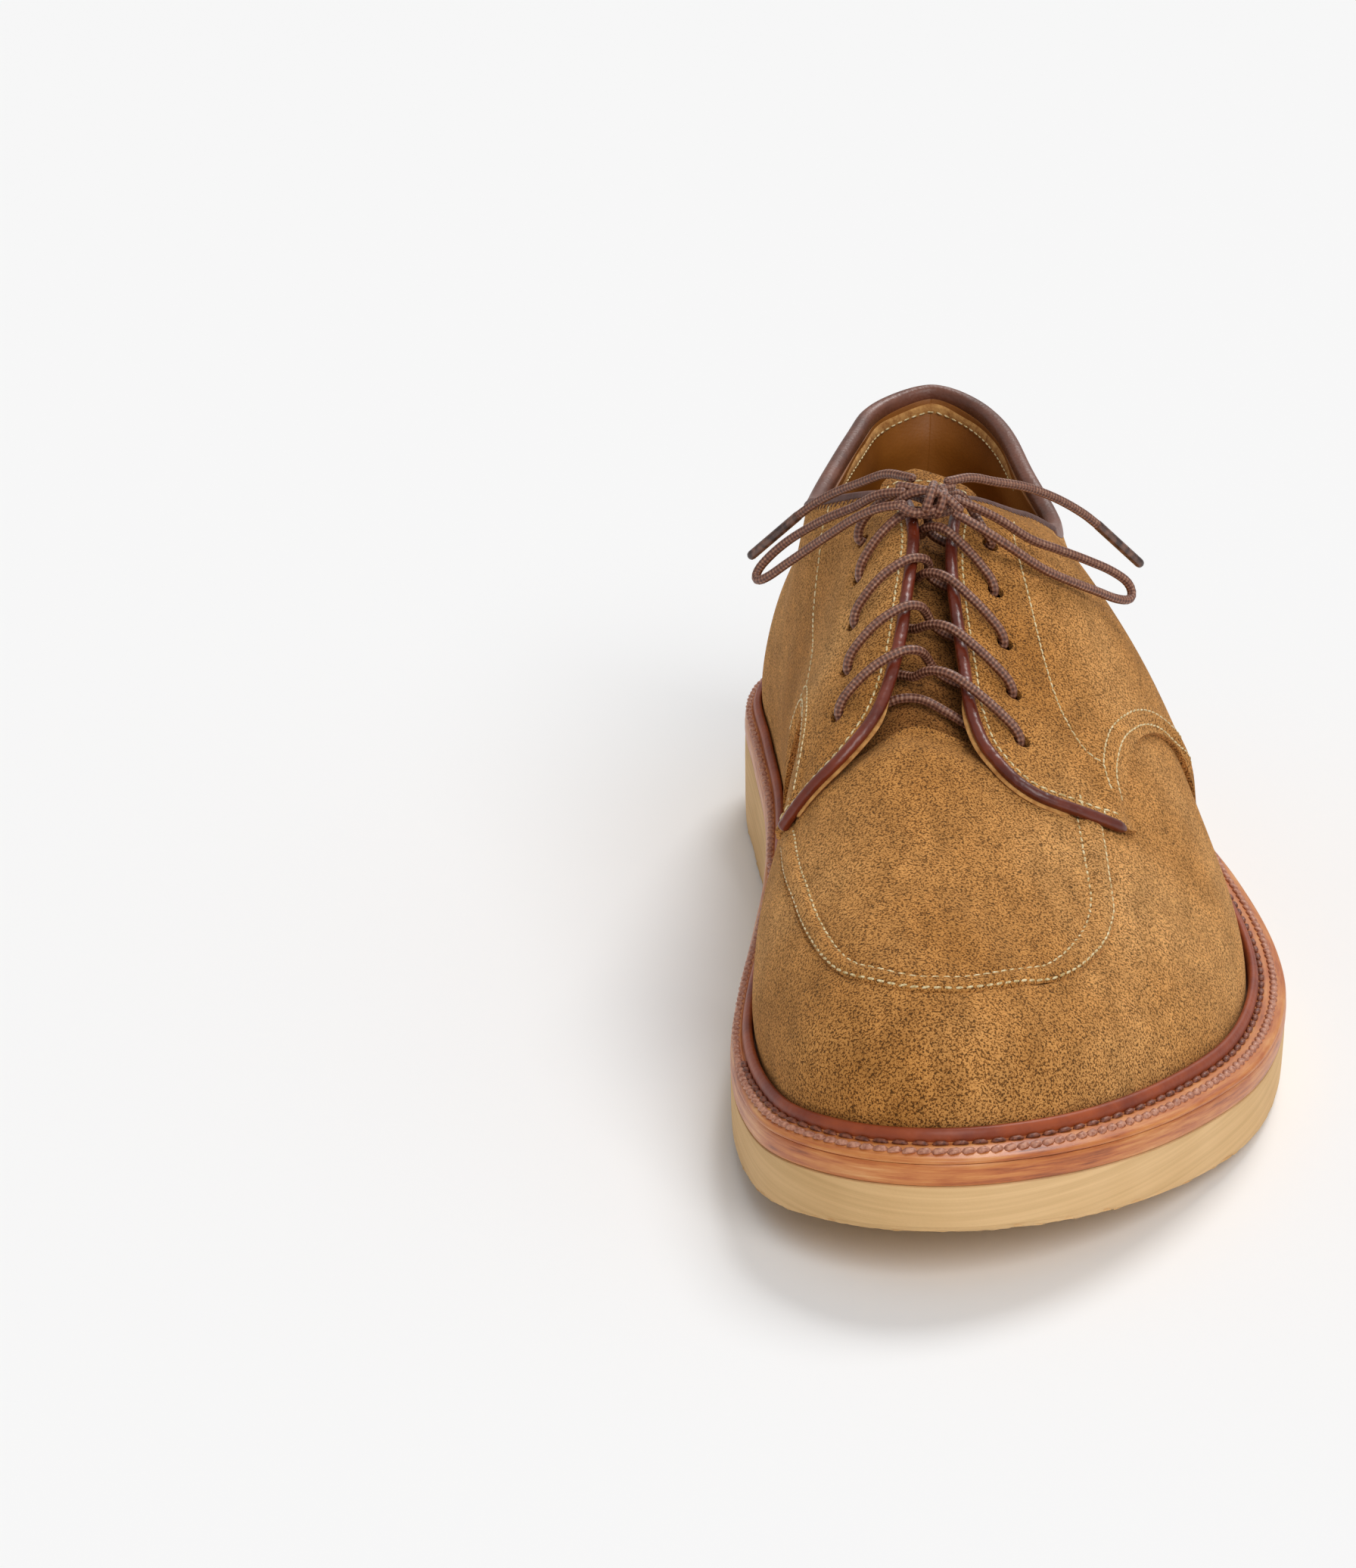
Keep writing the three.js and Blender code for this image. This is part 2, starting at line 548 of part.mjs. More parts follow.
function addSole() {
  const none = () => 0;
  addPart('outsole_wedge', 'foam', slab(none, groundHeight, over(0)));
  addPart('midsole', 'midsole', slab(none, over(CLEARANCE), over(SEAT)));

  const weltFoot = SEAT + CLEARANCE;
  const weltTop = weltFoot + WELT_THICKNESS;
  const lipGap = 0.45;
  const lipInner = (u) => {
    const s = stationAt(u);
    const lean = (s.bulge * (weltTop + WELT_LIP_HEIGHT - UPPER_FOOT)) / s.rise;
    return reachAt(u) - upperOut(u) - lipGap - lean;
  };
  const weltSection = (u) => {
    const inner = lipInner(u);
    const outer = inner - WELT_LIP_WIDTH;
    return [[0, weltFoot], [0, weltTop], [outer, weltTop],
      [outer + WELT_LIP_WIDTH / 4, weltTop + WELT_LIP_HEIGHT],
      [inner, weltTop + WELT_LIP_HEIGHT], [inner, weltFoot]];
  };
  addPart('storm_welt', 'welt', ring(weltSection));

  const stitchInset = (u) => Math.max((lipInner(u) - WELT_LIP_WIDTH) * 0.5, LOCKSTITCH_RADIUS);
  const stitchHeight = weltTop + LOCKSTITCH_RADIUS + CLEARANCE;
  addPart('welt_lockstitch', 'thread', ring((u) => [0, 1, 2, 3, 4, 5].map((k) => [
    stitchInset(u) + LOCKSTITCH_RADIUS * Math.cos((k * Math.PI) / 3),
    stitchHeight + LOCKSTITCH_RADIUS * Math.sin((k * Math.PI) / 3),
  ])));

  const liningInner = 4.4;
  const boardInset = (u) => reachAt(u) + liningInner + 2;
  const corkBottom = SEAT + CLEARANCE;
  const corkTop = corkBottom + CORK_THICKNESS;
  const shank = new THREE.BoxGeometry(SHANK_WIDTH, SHANK_LENGTH, SHANK_THICKNESS, 1, 24, 1);
  const shankY = 40 * STRETCH_Y;
  const shankX = 2 * STRETCH_X;
  const shankHeight = corkTop - SHANK_THICKNESS / 2;
  const bend = (geometry) => {
    const position = geometry.attributes.position;
    for (let i = 0; i < position.count; i += 1) {
      const y = position.getY(i) + shankY;
      position.setXYZ(i, position.getX(i) + shankX, y, position.getZ(i) + deckHeight(y) + shankHeight);
    }
    return geometry;
  };
  const slot = bend(new THREE.BoxGeometry(SHANK_WIDTH + 2 * CLEARANCE,
    SHANK_LENGTH + 2 * CLEARANCE, SHANK_THICKNESS + 2 * CLEARANCE, 1, 24, 1));
  addPart('cork_filler', 'cork', cut(slab(boardInset, over(corkBottom), over(corkTop)), [slot]));
  addPart('shank', 'aglet', bend(shank));

  const insoleBottom = corkTop + 2 * CLEARANCE;
  const insoleTop = insoleBottom + INSOLE_THICKNESS;
  addPart('insole_board', 'board', slab(boardInset, over(insoleBottom), over(insoleTop)));
  addPart('sock_liner', 'lining', slab((u) => boardInset(u) + 0.8,
    over(insoleTop + CLEARANCE), over(insoleTop + CLEARANCE + SOCK_THICKNESS)));
}

// The vamp wall dips under the apron along the seam, by the apron's thickness and a clearance
function wallLift(u, v) {
  const seam = heightAt(SEAM, u);
  const inReach = smooth(7.6, 8, u) - smooth(18.1, 18.5, u);
  const underQuarter = 1 - smooth(8, 8.4, u) + smooth(17.8, 18.2, u);
  return -APRON_DIP * inReach * smooth(seam - 0.08, seam - 0.02, v) - UNDER_QUARTER_DIP * underQuarter;
}

function addVamp() {
  const [first, last] = [5.6, 20.4];
  const wallRows = Array.from({ length: SEAM_STEPS + 1 }, (_, i) => {
    const u = mix(first, last, i / SEAM_STEPS);
    const top = heightAt(WALL_TOP, u);
    const fold = Math.min(heightAt(SEAM, u) - 0.08, top * 0.8);
    const dipped = Math.min(heightAt(SEAM, u) - 0.02, top * 0.92);
    return [0, 0.33 * fold, 0.67 * fold, fold, (fold + dipped) / 2, dipped, top].map((v) => [u, v]);
  });
  addPart('vamp_wall', 'suede', sheet(wallRows, -SUEDE, 0, wallLift));
  addPart('apron', 'suede', cap(-44 * STRETCH_Y, (u) => heightAt(SEAM, u), -SUEDE, 0, 9, 6));

  const puffRows = Array.from({ length: 17 }, (_, i) => {
    const u = mix(10, 16.4, i / 16);
    const top = heightAt(SEAM, u) - 0.1;
    return Array.from({ length: 4 }, (__, j) => [u, mix(0.02, top, j / 3)]);
  });
  addPart('toe_puff', 'board', sheet(puffRows, PUFF_TOP - TOE_PUFF_THICKNESS, PUFF_TOP));
  addPart('vamp_lining', 'lining', cap(-44 * STRETCH_Y, () => 0.01, LINING_TOP - LINING, LINING_TOP, 9, 6));
}


function addQuarter(side, pairs, eyelets, stayPairs) {
  const rows = rowsBetween(pairs, QUARTER_STEPS, SHEET_RISE_STEPS);
  const quarter = sheet(rows, QUARTER_BASE, QUARTER_BASE + SUEDE);
  addPart(`${side}_quarter`, 'suede', cut(quarter, punches(eyelets)));

  const stay = sheet(rowsBetween(stayPairs, 9, 4), STAY_TOP - FACING_STAY_THICKNESS, STAY_TOP);
  addPart(`${side}_facing_stay`, 'board', cut(stay, punches(eyelets)));
}

function addQuarterLining(side, from, to, frontTop) {
  const steps = 16;
  const rows = Array.from({ length: steps + 1 }, (_, i) => {
    const u = mix(from, to, i / steps);
    const top = mix(0.94, frontTop, smooth(0.7, 1, i / steps));
    return Array.from({ length: 7 }, (__, j) => [u, mix(0.01, top, j / 6)]);
  });
  addPart(`${side}_quarter_lining`, 'lining', sheet(rows, LINING_TOP - LINING, LINING_TOP));
}

function addHeel() {
  const band = (from, to, low, high, bottom, top, columns) => {
    const rows = Array.from({ length: columns + 1 }, (_, i) => {
      const u = mix(from, to, i / columns);
      return Array.from({ length: 7 }, (__, j) => [u, mix(bottom, top(u), j / 6)]);
    });
    return sheet(rows, low, high);
  };
  const outer = QUARTER_BASE + SUEDE + CLEARANCE;
  addPart('heel_strip', 'suede', band(-0.36, 0.36, outer, outer + HEEL_STRIP_THICKNESS,
    0.1, () => TOPLINE_V, 6));
  addPart('heel_counter', 'board', band(-3.2, 3.2, LINING_TOP + CLEARANCE, COUNTER_TOP,
    0.02, (u) => 0.72 - 0.3 * smooth(1.2, 3.2, Math.abs(u)), 16));
}

// The path of a bead just outside a quarter's upper edge, from one row of its list to another
function edgeBead(pairs, fromRow, toRow, radius) {
  const place = (i) => (i * (pairs.length - 1)) / QUARTER_STEPS;
  const edge = [];
  for (let i = 0; i <= QUARTER_STEPS; i += 1) {
    if (place(i) >= fromRow && place(i) <= toRow) edge.push(alongRows(pairs, place(i)));
  }
  return edge.map(([lowU, lowV, u, v], i) => {
    const before = edge[Math.max(i - 1, 0)];
    const after = edge[Math.min(i + 1, edge.length - 1)];
    const along = lastPoint(after[2], after[3]).sub(lastPoint(before[2], before[3]));
    const out = along.cross(lastNormal(u, v)).normalize();
    const inward = lastPoint(mix(u, lowU, 0.1), mix(v, lowV, 0.1)).sub(lastPoint(u, v));
    if (out.dot(inward) > 0) out.negate();
    return offLast(u, v, BEAD_HEIGHT).addScaledVector(out, radius + 2 * CLEARANCE);
  });
}

function addBindings() {
  const sides = { medial: MEDIAL_QUARTER, lateral: LATERAL_QUARTER };
  for (const [side, pairs] of Object.entries(sides)) {
    const facing = edgeBead(pairs, FACING_ROW - 0.75, pairs.length - 1.2, FACING_BEAD_RADIUS);
    addPart(`${side}_facing_binding`, 'binding', tube(facing, FACING_BEAD_RADIUS, 26));
    const piping = edgeBead(pairs, TOP_CORNER_ROW + 0.5, FACING_ROW - 0.95, PIPING_RADIUS);
    addPart(`${side}_top_piping`, 'binding', tube(piping, PIPING_RADIUS, 12));
  }
  const back = edgeBead(MEDIAL_QUARTER, 0, TOP_CORNER_ROW, TOPLINE_BEAD_RADIUS).reverse();
  const front = edgeBead(LATERAL_QUARTER, 0, TOP_CORNER_ROW, TOPLINE_BEAD_RADIUS).slice(1);
  addPart('topline_binding', 'binding', tube([...back, ...front], TOPLINE_BEAD_RADIUS, 40));
}


function addTongue() {
  const skin = new Skin();
  const rises = 4;
  const [root, throat] = [-43 * STRETCH_Y, 16 * STRETCH_Y];
  const medialFoot = (u) => mix(0.6, 0.66, smooth(8, 6, u));
  const lateralFoot = (u) => mix(0.74, 0.8, smooth(18, 20, u));
  const rows = ridgeRows(skin, root, throat, 12, medialFoot, lateralFoot, rises);
  const endRow = rows[rows.length - 1];
  const end = endRow.map((index) => skin.points[index]);
  const middle = end[rises];
  const lengthen = 29;
  for (const share of [0.25, 0.5, 0.75, 0.9, 1]) {
    const narrow = Math.sqrt(1 - (share * 0.86) ** 5);
    rows.push(end.map((point, i) => {
      const normal = skin.normals[endRow[i]].clone().normalize();
      normal.lerp(new THREE.Vector3(normal.x * 0.6, -0.2, 1), share).normalize();
      const side = point.clone().sub(middle);
      side.x *= narrow * mix(1, 0.78, share);
      side.z *= mix(1, 0.5, share) * narrow;
      side.y *= narrow;
      return skin.add(middle.clone().add(side)
        .add(new THREE.Vector3(0, lengthen * share, lengthen * 0.2 * share)), normal);
    }));
  }
  skin.grid(rows);
  addPart('tongue', 'suede', skin.thicken(TONGUE_TOP - TONGUE_THICKNESS, TONGUE_TOP));
}

// ---------- Lace ----------

// A length of lace that leaves one eyelet, crosses the ridge at a height and dips under the
// facing opposite, to lie below the eyelet there
function strand(start, end, crossing) {
  const startMedial = start[0] < TOE;
  const y = (stationAt(start[0]).top.y + stationAt(end[0]).top.y) / 2 + (startMedial ? 1.8 : -1.8);
  const station = (medial) => (medial ? medialStation(y) : lateralStation(y));
  const at = (eyelet, medial, share, height) => (
    offLast(mix(eyelet[0], station(medial), share), mix(eyelet[1], 1, share), height));
  return [
    at(start, startMedial, 0, LACE_IN_HOLE),
    at(start, startMedial, 0, 1),
    at(start, startMedial, 0, 2.4),
    at(start, startMedial, 0.14, LACE_OVER - 0.2),
    at(start, startMedial, 0.38, LACE_OVER),
    at(start, startMedial, 0.7, LACE_OVER + CLEARANCE),
    at(start, startMedial, 0.83, mix(crossing, LACE_OVER, 0.85)),
    at(start, startMedial, 0.92, mix(crossing, LACE_OVER, 0.4)),
    at(start, startMedial, 1, crossing),
    at(end, !startMedial, 0.84, mix(crossing, LACE_UNDER, 0.8)),
    at(end, !startMedial, 0.68, LACE_UNDER),
    at(end, !startMedial, 0.4, LACE_UNDER),
    at(end, !startMedial, 0.12, LACE_UNDER),
  ];
}

function addLace() {
  const lace = (name, points, steps) => (
    addPart(name, 'lace', tube(points, LACE_RADIUS, steps)));
  const vectors = (list) => list.map((point) => new THREE.Vector3(...point));

  const [medialLow, lateralLow] = [MEDIAL_EYELETS[0], LATERAL_EYELETS[0]];
  const y = (stationAt(medialLow[0]).top.y + stationAt(lateralLow[0]).top.y) / 2;
  lace('lace_bar', [0.1, 0.4, 0.7, 1].map((share) => (
    offLast(mix(medialLow[0], medialStation(y), share), mix(medialLow[1], 1, share), LACE_UNDER)))
    .concat([0.7, 0.4, 0.1].map((share) => (
      offLast(mix(lateralLow[0], lateralStation(y), share), mix(lateralLow[1], 1, share), LACE_UNDER)))), 12);

  const top = MEDIAL_EYELETS.length - 2;
  for (let row = 0; row <= top; row += 1) {
    lace(`lace_medial_strand_${row + 1}`,
      strand(MEDIAL_EYELETS[row], LATERAL_EYELETS[row + 1], row < top ? LACE_UNDER + 2 * LACE_DIAMETER : LACE_ON_TONGUE + LACE_DIAMETER + CLEARANCE), 20);
    lace(`lace_lateral_strand_${row + 1}`,
      strand(LATERAL_EYELETS[row], MEDIAL_EYELETS[row + 1], row < top ? LACE_UNDER : LACE_ON_TONGUE), 20);
  }

  const knot = new THREE.SphereGeometry(1, 12, 8).scale(...KNOT_SIZE).translate(...KNOT);
  addPart('lace_knot', 'lace', knot);
  lace('bow_loop_medial', vectors(MEDIAL_LOOP), 32);
  lace('bow_loop_lateral', vectors(LATERAL_LOOP), 32);
  lace('lace_end_medial', vectors(MEDIAL_END), 12);
  lace('lace_end_lateral', vectors(LATERAL_END), 14);

  const aglet = (name, end, tip) => {
    const from = new THREE.Vector3(...end);
    const direction = new THREE.Vector3(...tip).sub(from).normalize();
    const start = from.clone().addScaledVector(direction, CLEARANCE);
    const stop = start.clone().addScaledVector(direction, AGLET_LENGTH);
    addPart(name, 'aglet', tube([start, stop], AGLET_DIAMETER / 2, 2, 10));
  };
  aglet('aglet_medial', MEDIAL_END.at(-1), MEDIAL_AGLET_TIP);
  aglet('aglet_lateral', LATERAL_END.at(-1), LATERAL_AGLET_TIP);

  // From the top eyelets to the knot
  const riser = (name, [u, v], side) => lace(name, [
    offLast(u, v, LACE_IN_HOLE), offLast(u, v, 1), offLast(u, v, 2.4),
    offLast(u, mix(v, 1, 0.18), LACE_OVER),
    new THREE.Vector3(KNOT[0] + side * 7, KNOT[1] + 8.6, KNOT[2] - 0.8),
    new THREE.Vector3(KNOT[0] + side * 2.6, KNOT[1] + 6.4, KNOT[2] - 0.4),
  ], 10);
  riser('lace_medial_riser', MEDIAL_EYELETS.at(-1), -1);
  riser('lace_lateral_riser', LATERAL_EYELETS.at(-1), 1);
}

addSole();
addVamp();
addQuarter('medial', MEDIAL_QUARTER, MEDIAL_EYELETS, MEDIAL_STAY);
addQuarter('lateral', LATERAL_QUARTER, LATERAL_EYELETS, LATERAL_STAY);
addQuarterLining('medial', 0.12, 6.3, 0.5);
addQuarterLining('lateral', 25.88, 19.9, 0.66);
addHeel();
addBindings();
addTongue();
addLace();

// The origin is on the ground under the middle of the sole
const edges = Array.from({ length: 20 * COUNT }, (_, i) => stationAt(i / 20).edge);
const middleOf = (values) => (Math.min(...values) + Math.max(...values)) / 2;
shoe.position.set(-middleOf(edges.map((p) => p.x)), -middleOf(edges.map((p) => p.y)), 0);

export default shoe;
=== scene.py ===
import math

import bpy
import numpy as np
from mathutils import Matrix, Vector
from mathutils.bvhtree import BVHTree


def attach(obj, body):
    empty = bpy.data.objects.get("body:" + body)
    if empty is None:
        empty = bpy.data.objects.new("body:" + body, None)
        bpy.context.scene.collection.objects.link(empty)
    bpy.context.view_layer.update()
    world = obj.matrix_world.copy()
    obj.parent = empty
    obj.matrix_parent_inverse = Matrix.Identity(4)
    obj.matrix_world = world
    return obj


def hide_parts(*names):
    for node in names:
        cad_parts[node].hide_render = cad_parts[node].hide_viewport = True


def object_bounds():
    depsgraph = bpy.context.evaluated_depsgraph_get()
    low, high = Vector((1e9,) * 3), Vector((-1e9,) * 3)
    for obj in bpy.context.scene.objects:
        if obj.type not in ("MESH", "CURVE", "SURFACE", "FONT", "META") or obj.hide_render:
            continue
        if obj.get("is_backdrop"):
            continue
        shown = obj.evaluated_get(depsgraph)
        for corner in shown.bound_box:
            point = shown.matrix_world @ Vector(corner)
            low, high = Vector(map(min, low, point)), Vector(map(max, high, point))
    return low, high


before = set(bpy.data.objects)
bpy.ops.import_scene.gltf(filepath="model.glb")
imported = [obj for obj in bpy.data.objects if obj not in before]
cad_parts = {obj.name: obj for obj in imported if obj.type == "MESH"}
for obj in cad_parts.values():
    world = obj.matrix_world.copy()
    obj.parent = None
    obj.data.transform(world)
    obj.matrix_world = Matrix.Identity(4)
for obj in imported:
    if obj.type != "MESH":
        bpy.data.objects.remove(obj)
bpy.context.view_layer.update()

MM = 0.001
BODY = "shoe"

# ---------------------------------------------------------------------------
# The last, as the shoemaker set it out: stations round the sole's edge, each
# with the rib that climbs from the sole to the ridge or to the foot opening.
# Columns: edge x, y | top x, y, z | bulge, rise | crown share, drop | reach
# ---------------------------------------------------------------------------
STATIONS = np.array([
    [-1, 150, 1.5, 143, 101, 3.5, 27, 0.1, 26, 7.5],
    [-24, 144, -12, 134.5, 98.2, 3.5, 27, 0.1, 26, 7.1],
    [-39, 127, -17.3, 118, 95.8, 3.5, 27, 0.12, 24, 6.7],
    [-44.5, 103, -22.8, 97, 93.2, 3.5, 27, 0.15, 22, 6.5],
    [-43, 73, -28.8, 70, 90.7, 3, 29, 0.22, 18, 6.5],
    [-41, 40, -27, 50, 95, 3, 33, 0.42, 9, 6.5],
    [-42, 8, -8.5, 18, 101.5, 4, 39, 0.5, 3, 6.3],
    [-45, -20, -9.5, -14, 88.4, 5.5, 35, 0.48, 0, 5.6],
    [-48.5, -50, -11, -42, 74.5, 7, 30, 0.46, 0, 5.2],
    [-50.5, -80, -13, -66, 65.5, 6.5, 27, 0.46, 0, 5.4],
    [-49, -108, -15, -82, 60.5, 5, 24, 0.46, 0, 6],
    [-43.5, -131, -16, -92, 57.5, 3.5, 23, 0.47, 0, 6.6],
    [-31, -146.5, -16, -94, 57, 2.5, 22, 0.47, 0, 7.2],
    [-16, -152.5, -16, -94, 57, 2, 21, 0.47, 0, 7.6],
    [0, -149.5, -16, -94, 57, 2, 21, 0.47, 0, 7.8],
    [18, -138, -16, -94, 57, 2, 20, 0.46, 0, 8],
    [36, -118, -16, -92, 57.5, 1.5, 19, 0.44, 0, 8.2],
    [53, -90, -14, -72, 63.5, 1.5, 18, 0.42, 0, 8.2],
    [63, -58, -11.5, -46, 73, 1.5, 19, 0.42, 0, 8.2],
    [65.5, -28, -9.5, -20, 85.5, 2, 22, 0.46, 0, 8.2],
    [62, 5, -7, 18, 101.5, 3, 25, 0.56, 2, 8.4],
    [54, 40, 12, 44, 92.5, 4, 27, 0.56, 7, 8.4],
    [46.5, 73, 24.8, 66, 84.8, 3, 27, 0.28, 15, 8],
    [41.5, 103, 20.4, 95, 91, 3, 26, 0.15, 20, 7.5],
    [36, 128, 17.4, 118, 95.8, 3.5, 27, 0.12, 24, 7.5],
    [21, 144, 11.8, 135, 98.8, 3.5, 27, 0.1, 26, 7.5],
], float)
COUNT = len(STATIONS)
SOLE_AT_TOE, SOLE_AT_HEEL, TOE_SPRING, TOE_ROUNDING = 12.0, 23.0, 9.0, 2.5
SEAT = 4.3
UPPER_FOOT = SEAT + 0.4
SUEDE = 1.4
QUARTER_BASE = 0.5
QUARTER_FACE = QUARTER_BASE + SUEDE
LINING_DEPTH = -3.5
TONGUE_DEPTH = -5.4
RIDGE_SLOPE = ([-94, -68, -45, -20, 8, 40], [0.27, 0.33, 0.42, 0.47, 0.42, 0])

SEAM = np.array([
    [8.1, 0.38], [8.3, 0.4], [9.2, 0.46], [10, 0.49], [10.6, 0.51], [11.7, 0.54], [12.5, 0.55],
    [13.5, 0.55], [14.4, 0.54], [15.1, 0.53], [15.7, 0.5], [16.1, 0.49], [16.6, 0.49], [17, 0.51],
    [17.4, 0.55], [17.8, 0.58], [18.1, 0.6]])
WALL_TOP = np.array([
    [5.7, 0.12], [6, 0.32], [6.4, 0.46], [7, 0.52], [7.6, 0.53], [8.3, 0.48], [9.2, 0.53],
    [10.1, 0.56], [11, 0.58], [12.2, 0.6], [13.5, 0.6], [14.5, 0.59], [15.4, 0.56], [16.1, 0.54],
    [16.5, 0.55], [17.1, 0.57], [17.6, 0.61], [18.2, 0.62], [18.8, 0.63], [19.3, 0.6],
    [19.7, 0.5], [20.1, 0.38], [20.5, 0.15]])
TOPLINE = 0.955
QUARTERS = {
    "medial": np.array([
        [0, 0, 0, TOPLINE], [1, 0, 1, TOPLINE], [2, 0, 2, TOPLINE], [3, 0, 3, TOPLINE],
        [4, 0, 4, TOPLINE], [5, 0, 5, 0.965], [5.6, 0, 5.72, 0.965], [5.95, 0.18, 6.1, 0.935],
        [6.35, 0.35, 6.5, 0.93], [6.8, 0.43, 7, 0.915], [7.3, 0.455, 7.5, 0.875],
        [7.72, 0.45, 7.92, 0.805], [7.9, 0.42, 8.12, 0.68], [7.93, 0.395, 8.1, 0.52],
        [7.9, 0.365, 8.06, 0.42]]),
    "lateral": np.array([
        [26, 0, 26, TOPLINE], [25, 0, 25, TOPLINE], [24, 0, 24, TOPLINE], [23, 0, 23, TOPLINE],
        [22, 0, 22, TOPLINE], [21, 0, 21, 0.965], [20.5, 0, 20.35, 0.965],
        [20.12, 0.22, 19.95, 0.945], [19.75, 0.4, 19.5, 0.945], [19.3, 0.51, 19.15, 0.938],
        [18.9, 0.545, 18.75, 0.92], [18.5, 0.55, 18.3, 0.898], [18.3, 0.54, 17.93, 0.85],
        [18.22, 0.535, 17.73, 0.74], [18.12, 0.52, 18.0, 0.545]]),
}
TOP_CORNER_ROW = 4
FACING_ROW = 7
EYELETS = {
    "medial": [(7.6, 0.65), (7.22, 0.675), (6.78, 0.69), (6.3, 0.693), (5.88, 0.745)],
    "lateral": [(18.25, 0.787), (18.73, 0.81), (19.15, 0.833), (19.5, 0.852), (19.84, 0.868)],
}
EYELET_RADIUS = 1.9

# Lace
LACE_DIAMETER = 2.0
LACE_OVER, LACE_UNDER, LACE_IN_HOLE = 4.1, -3.0, -0.9
KNOT = np.array([-7.6, 6.5, 106])
MEDIAL_LOOP = [
    [-13.2, 9.8, 107.2], [-18, 13, 105.8], [-23, 18, 101.6], [-28, 22.5, 98.2], [-32.5, 26.5, 94.6],
    [-37, 30, 90.6], [-41, 32, 86.4], [-43.6, 32.3, 83], [-43.8, 30, 81.6], [-41.6, 27.6, 83],
    [-37.6, 24.6, 86.8], [-33, 21, 91.2], [-28, 16.8, 96], [-23, 12.6, 100.6], [-18, 8.6, 104],
    [-13.2, 6, 105.4]]
LATERAL_LOOP = [
    [-2, 7.4, 106.2], [2.5, 7.8, 104.2], [8.2, 8.8, 101], [14.5, 11, 96.4], [21, 14.2, 93.2],
    [28, 18, 89.6], [34, 21.6, 86], [38, 23.6, 82.4], [38.4, 22.4, 79.8], [35, 19, 80.6],
    [29.6, 14.4, 83.8], [23.4, 9.6, 87.4], [16.8, 5.6, 91.4], [10, 2.8, 96.6], [3.6, 2.2, 101],
    [-2, 3.6, 104]]
MEDIAL_END = [
    [-11, 13, 109.4], [-16, 19.5, 108.6], [-21.5, 25.5, 105], [-27, 31, 101.2], [-31.2, 35, 97.6],
    [-34.4, 37.6, 94.4]]
MEDIAL_AGLET_TIP = [-44.6, 44, 83.4]
LATERAL_END = [
    [-3.4, 11.6, 109], [1.5, 15.6, 108.8], [7.5, 20.4, 106.6], [14.5, 26, 104], [22, 32, 99.8],
    [28.5, 37.2, 95], [32.2, 40, 91.6]]
LATERAL_AGLET_TIP = [43, 46.5, 80.6]
AGLET_LENGTH = 16.0
AGLET_GAP = 0.1
FILM_OVER_LACE = 1.09


# ---------------------------------------------------------------------------
# The last's surface, for arrays of u and v, in millimetres
# ---------------------------------------------------------------------------
def ease(low, high, x):
    t = np.clip((np.asarray(x, float) - low) / (high - low), 0, 1)
    return t * t * (3 - 2 * t)


def mix(a, b, t):
    return a + (b - a) * t


def spline(p0, p1, p2, p3, t):
    return 0.5 * (2 * p1 + (p2 - p0) * t + (2 * p0 - 5 * p1 + 4 * p2 - p3) * t ** 2
                  + (3 * p1 - p0 - 3 * p2 + p3) * t ** 3)


def station(u):
    u = np.asarray(u, float)
    i = np.floor(u).astype(int)
    rows = [STATIONS[(i + k) % COUNT] for k in (-1, 0, 1, 2)]
    return spline(*rows, (u - i)[..., None])


def along_rows(rows, place):
    """A row of an open list of rows, at places counted in rows."""
    place = np.asarray(place, float)
    i = np.clip(np.floor(place).astype(int), 0, len(rows) - 2)
    near = [rows[np.clip(i + k, 0, len(rows) - 1)] for k in (-1, 0, 1, 2)]
    return spline(*near, (place - i)[..., None])


def toe_share(y):
    return np.maximum(0, (-55 - y) / 97) ** 1.9


def deck(y):
    return SOLE_AT_TOE + TOE_SPRING * toe_share(y) + (SOLE_AT_HEEL - SOLE_AT_TOE) * ease(-55, 105, y)


def ground(y):
    return (TOE_SPRING + TOE_ROUNDING) * toe_share(y)


def inside(u, inset):
    """Points at an inset from the sole's edge, in plan."""
    step = 0.001
    tangent = station(np.add(u, step))[..., :2] - station(np.subtract(u, step))[..., :2]
    tangent /= np.linalg.norm(tangent, axis=-1, keepdims=True)
    edge = station(u)[..., :2]
    turned = np.stack([-tangent[..., 1], tangent[..., 0]], -1)
    return edge + turned * np.asarray(inset, float)[..., None]


def last_point(u, v):
    u, v = np.broadcast_arrays(np.asarray(u, float), np.asarray(v, float))
    s = station(u)
    edge, top = s[..., :2], s[..., 2:5]
    bulge, rise, crown, drop, reach = (s[..., k] for k in range(5, 10))
    plan = inside(u, reach)
    foot = np.concatenate([plan, (deck(edge[..., 1]) + UPPER_FOOT)[..., None]], -1)
    out = edge - plan
    out /= np.linalg.norm(out, axis=-1, keepdims=True)
    wall = foot + np.concatenate([out * bulge[..., None], rise[..., None]], -1)
    span = (foot - top) * crown[..., None]
    level = np.maximum(0, 1 - drop / 8)
    tilt = 0.1 + 0.16 * ease(-90, -20, top[..., 1])
    slope = np.interp(top[..., 1], *RIDGE_SLOPE)
    fall = (-tilt * span[..., 0] + slope * span[..., 1]) * level - drop
    head = top + np.stack([span[..., 0], span[..., 1], fall], -1)
    w, v = (1 - v)[..., None], v[..., None]
    return foot * w ** 3 + wall * 3 * w * w * v + head * 3 * w * v * v + top * v ** 3


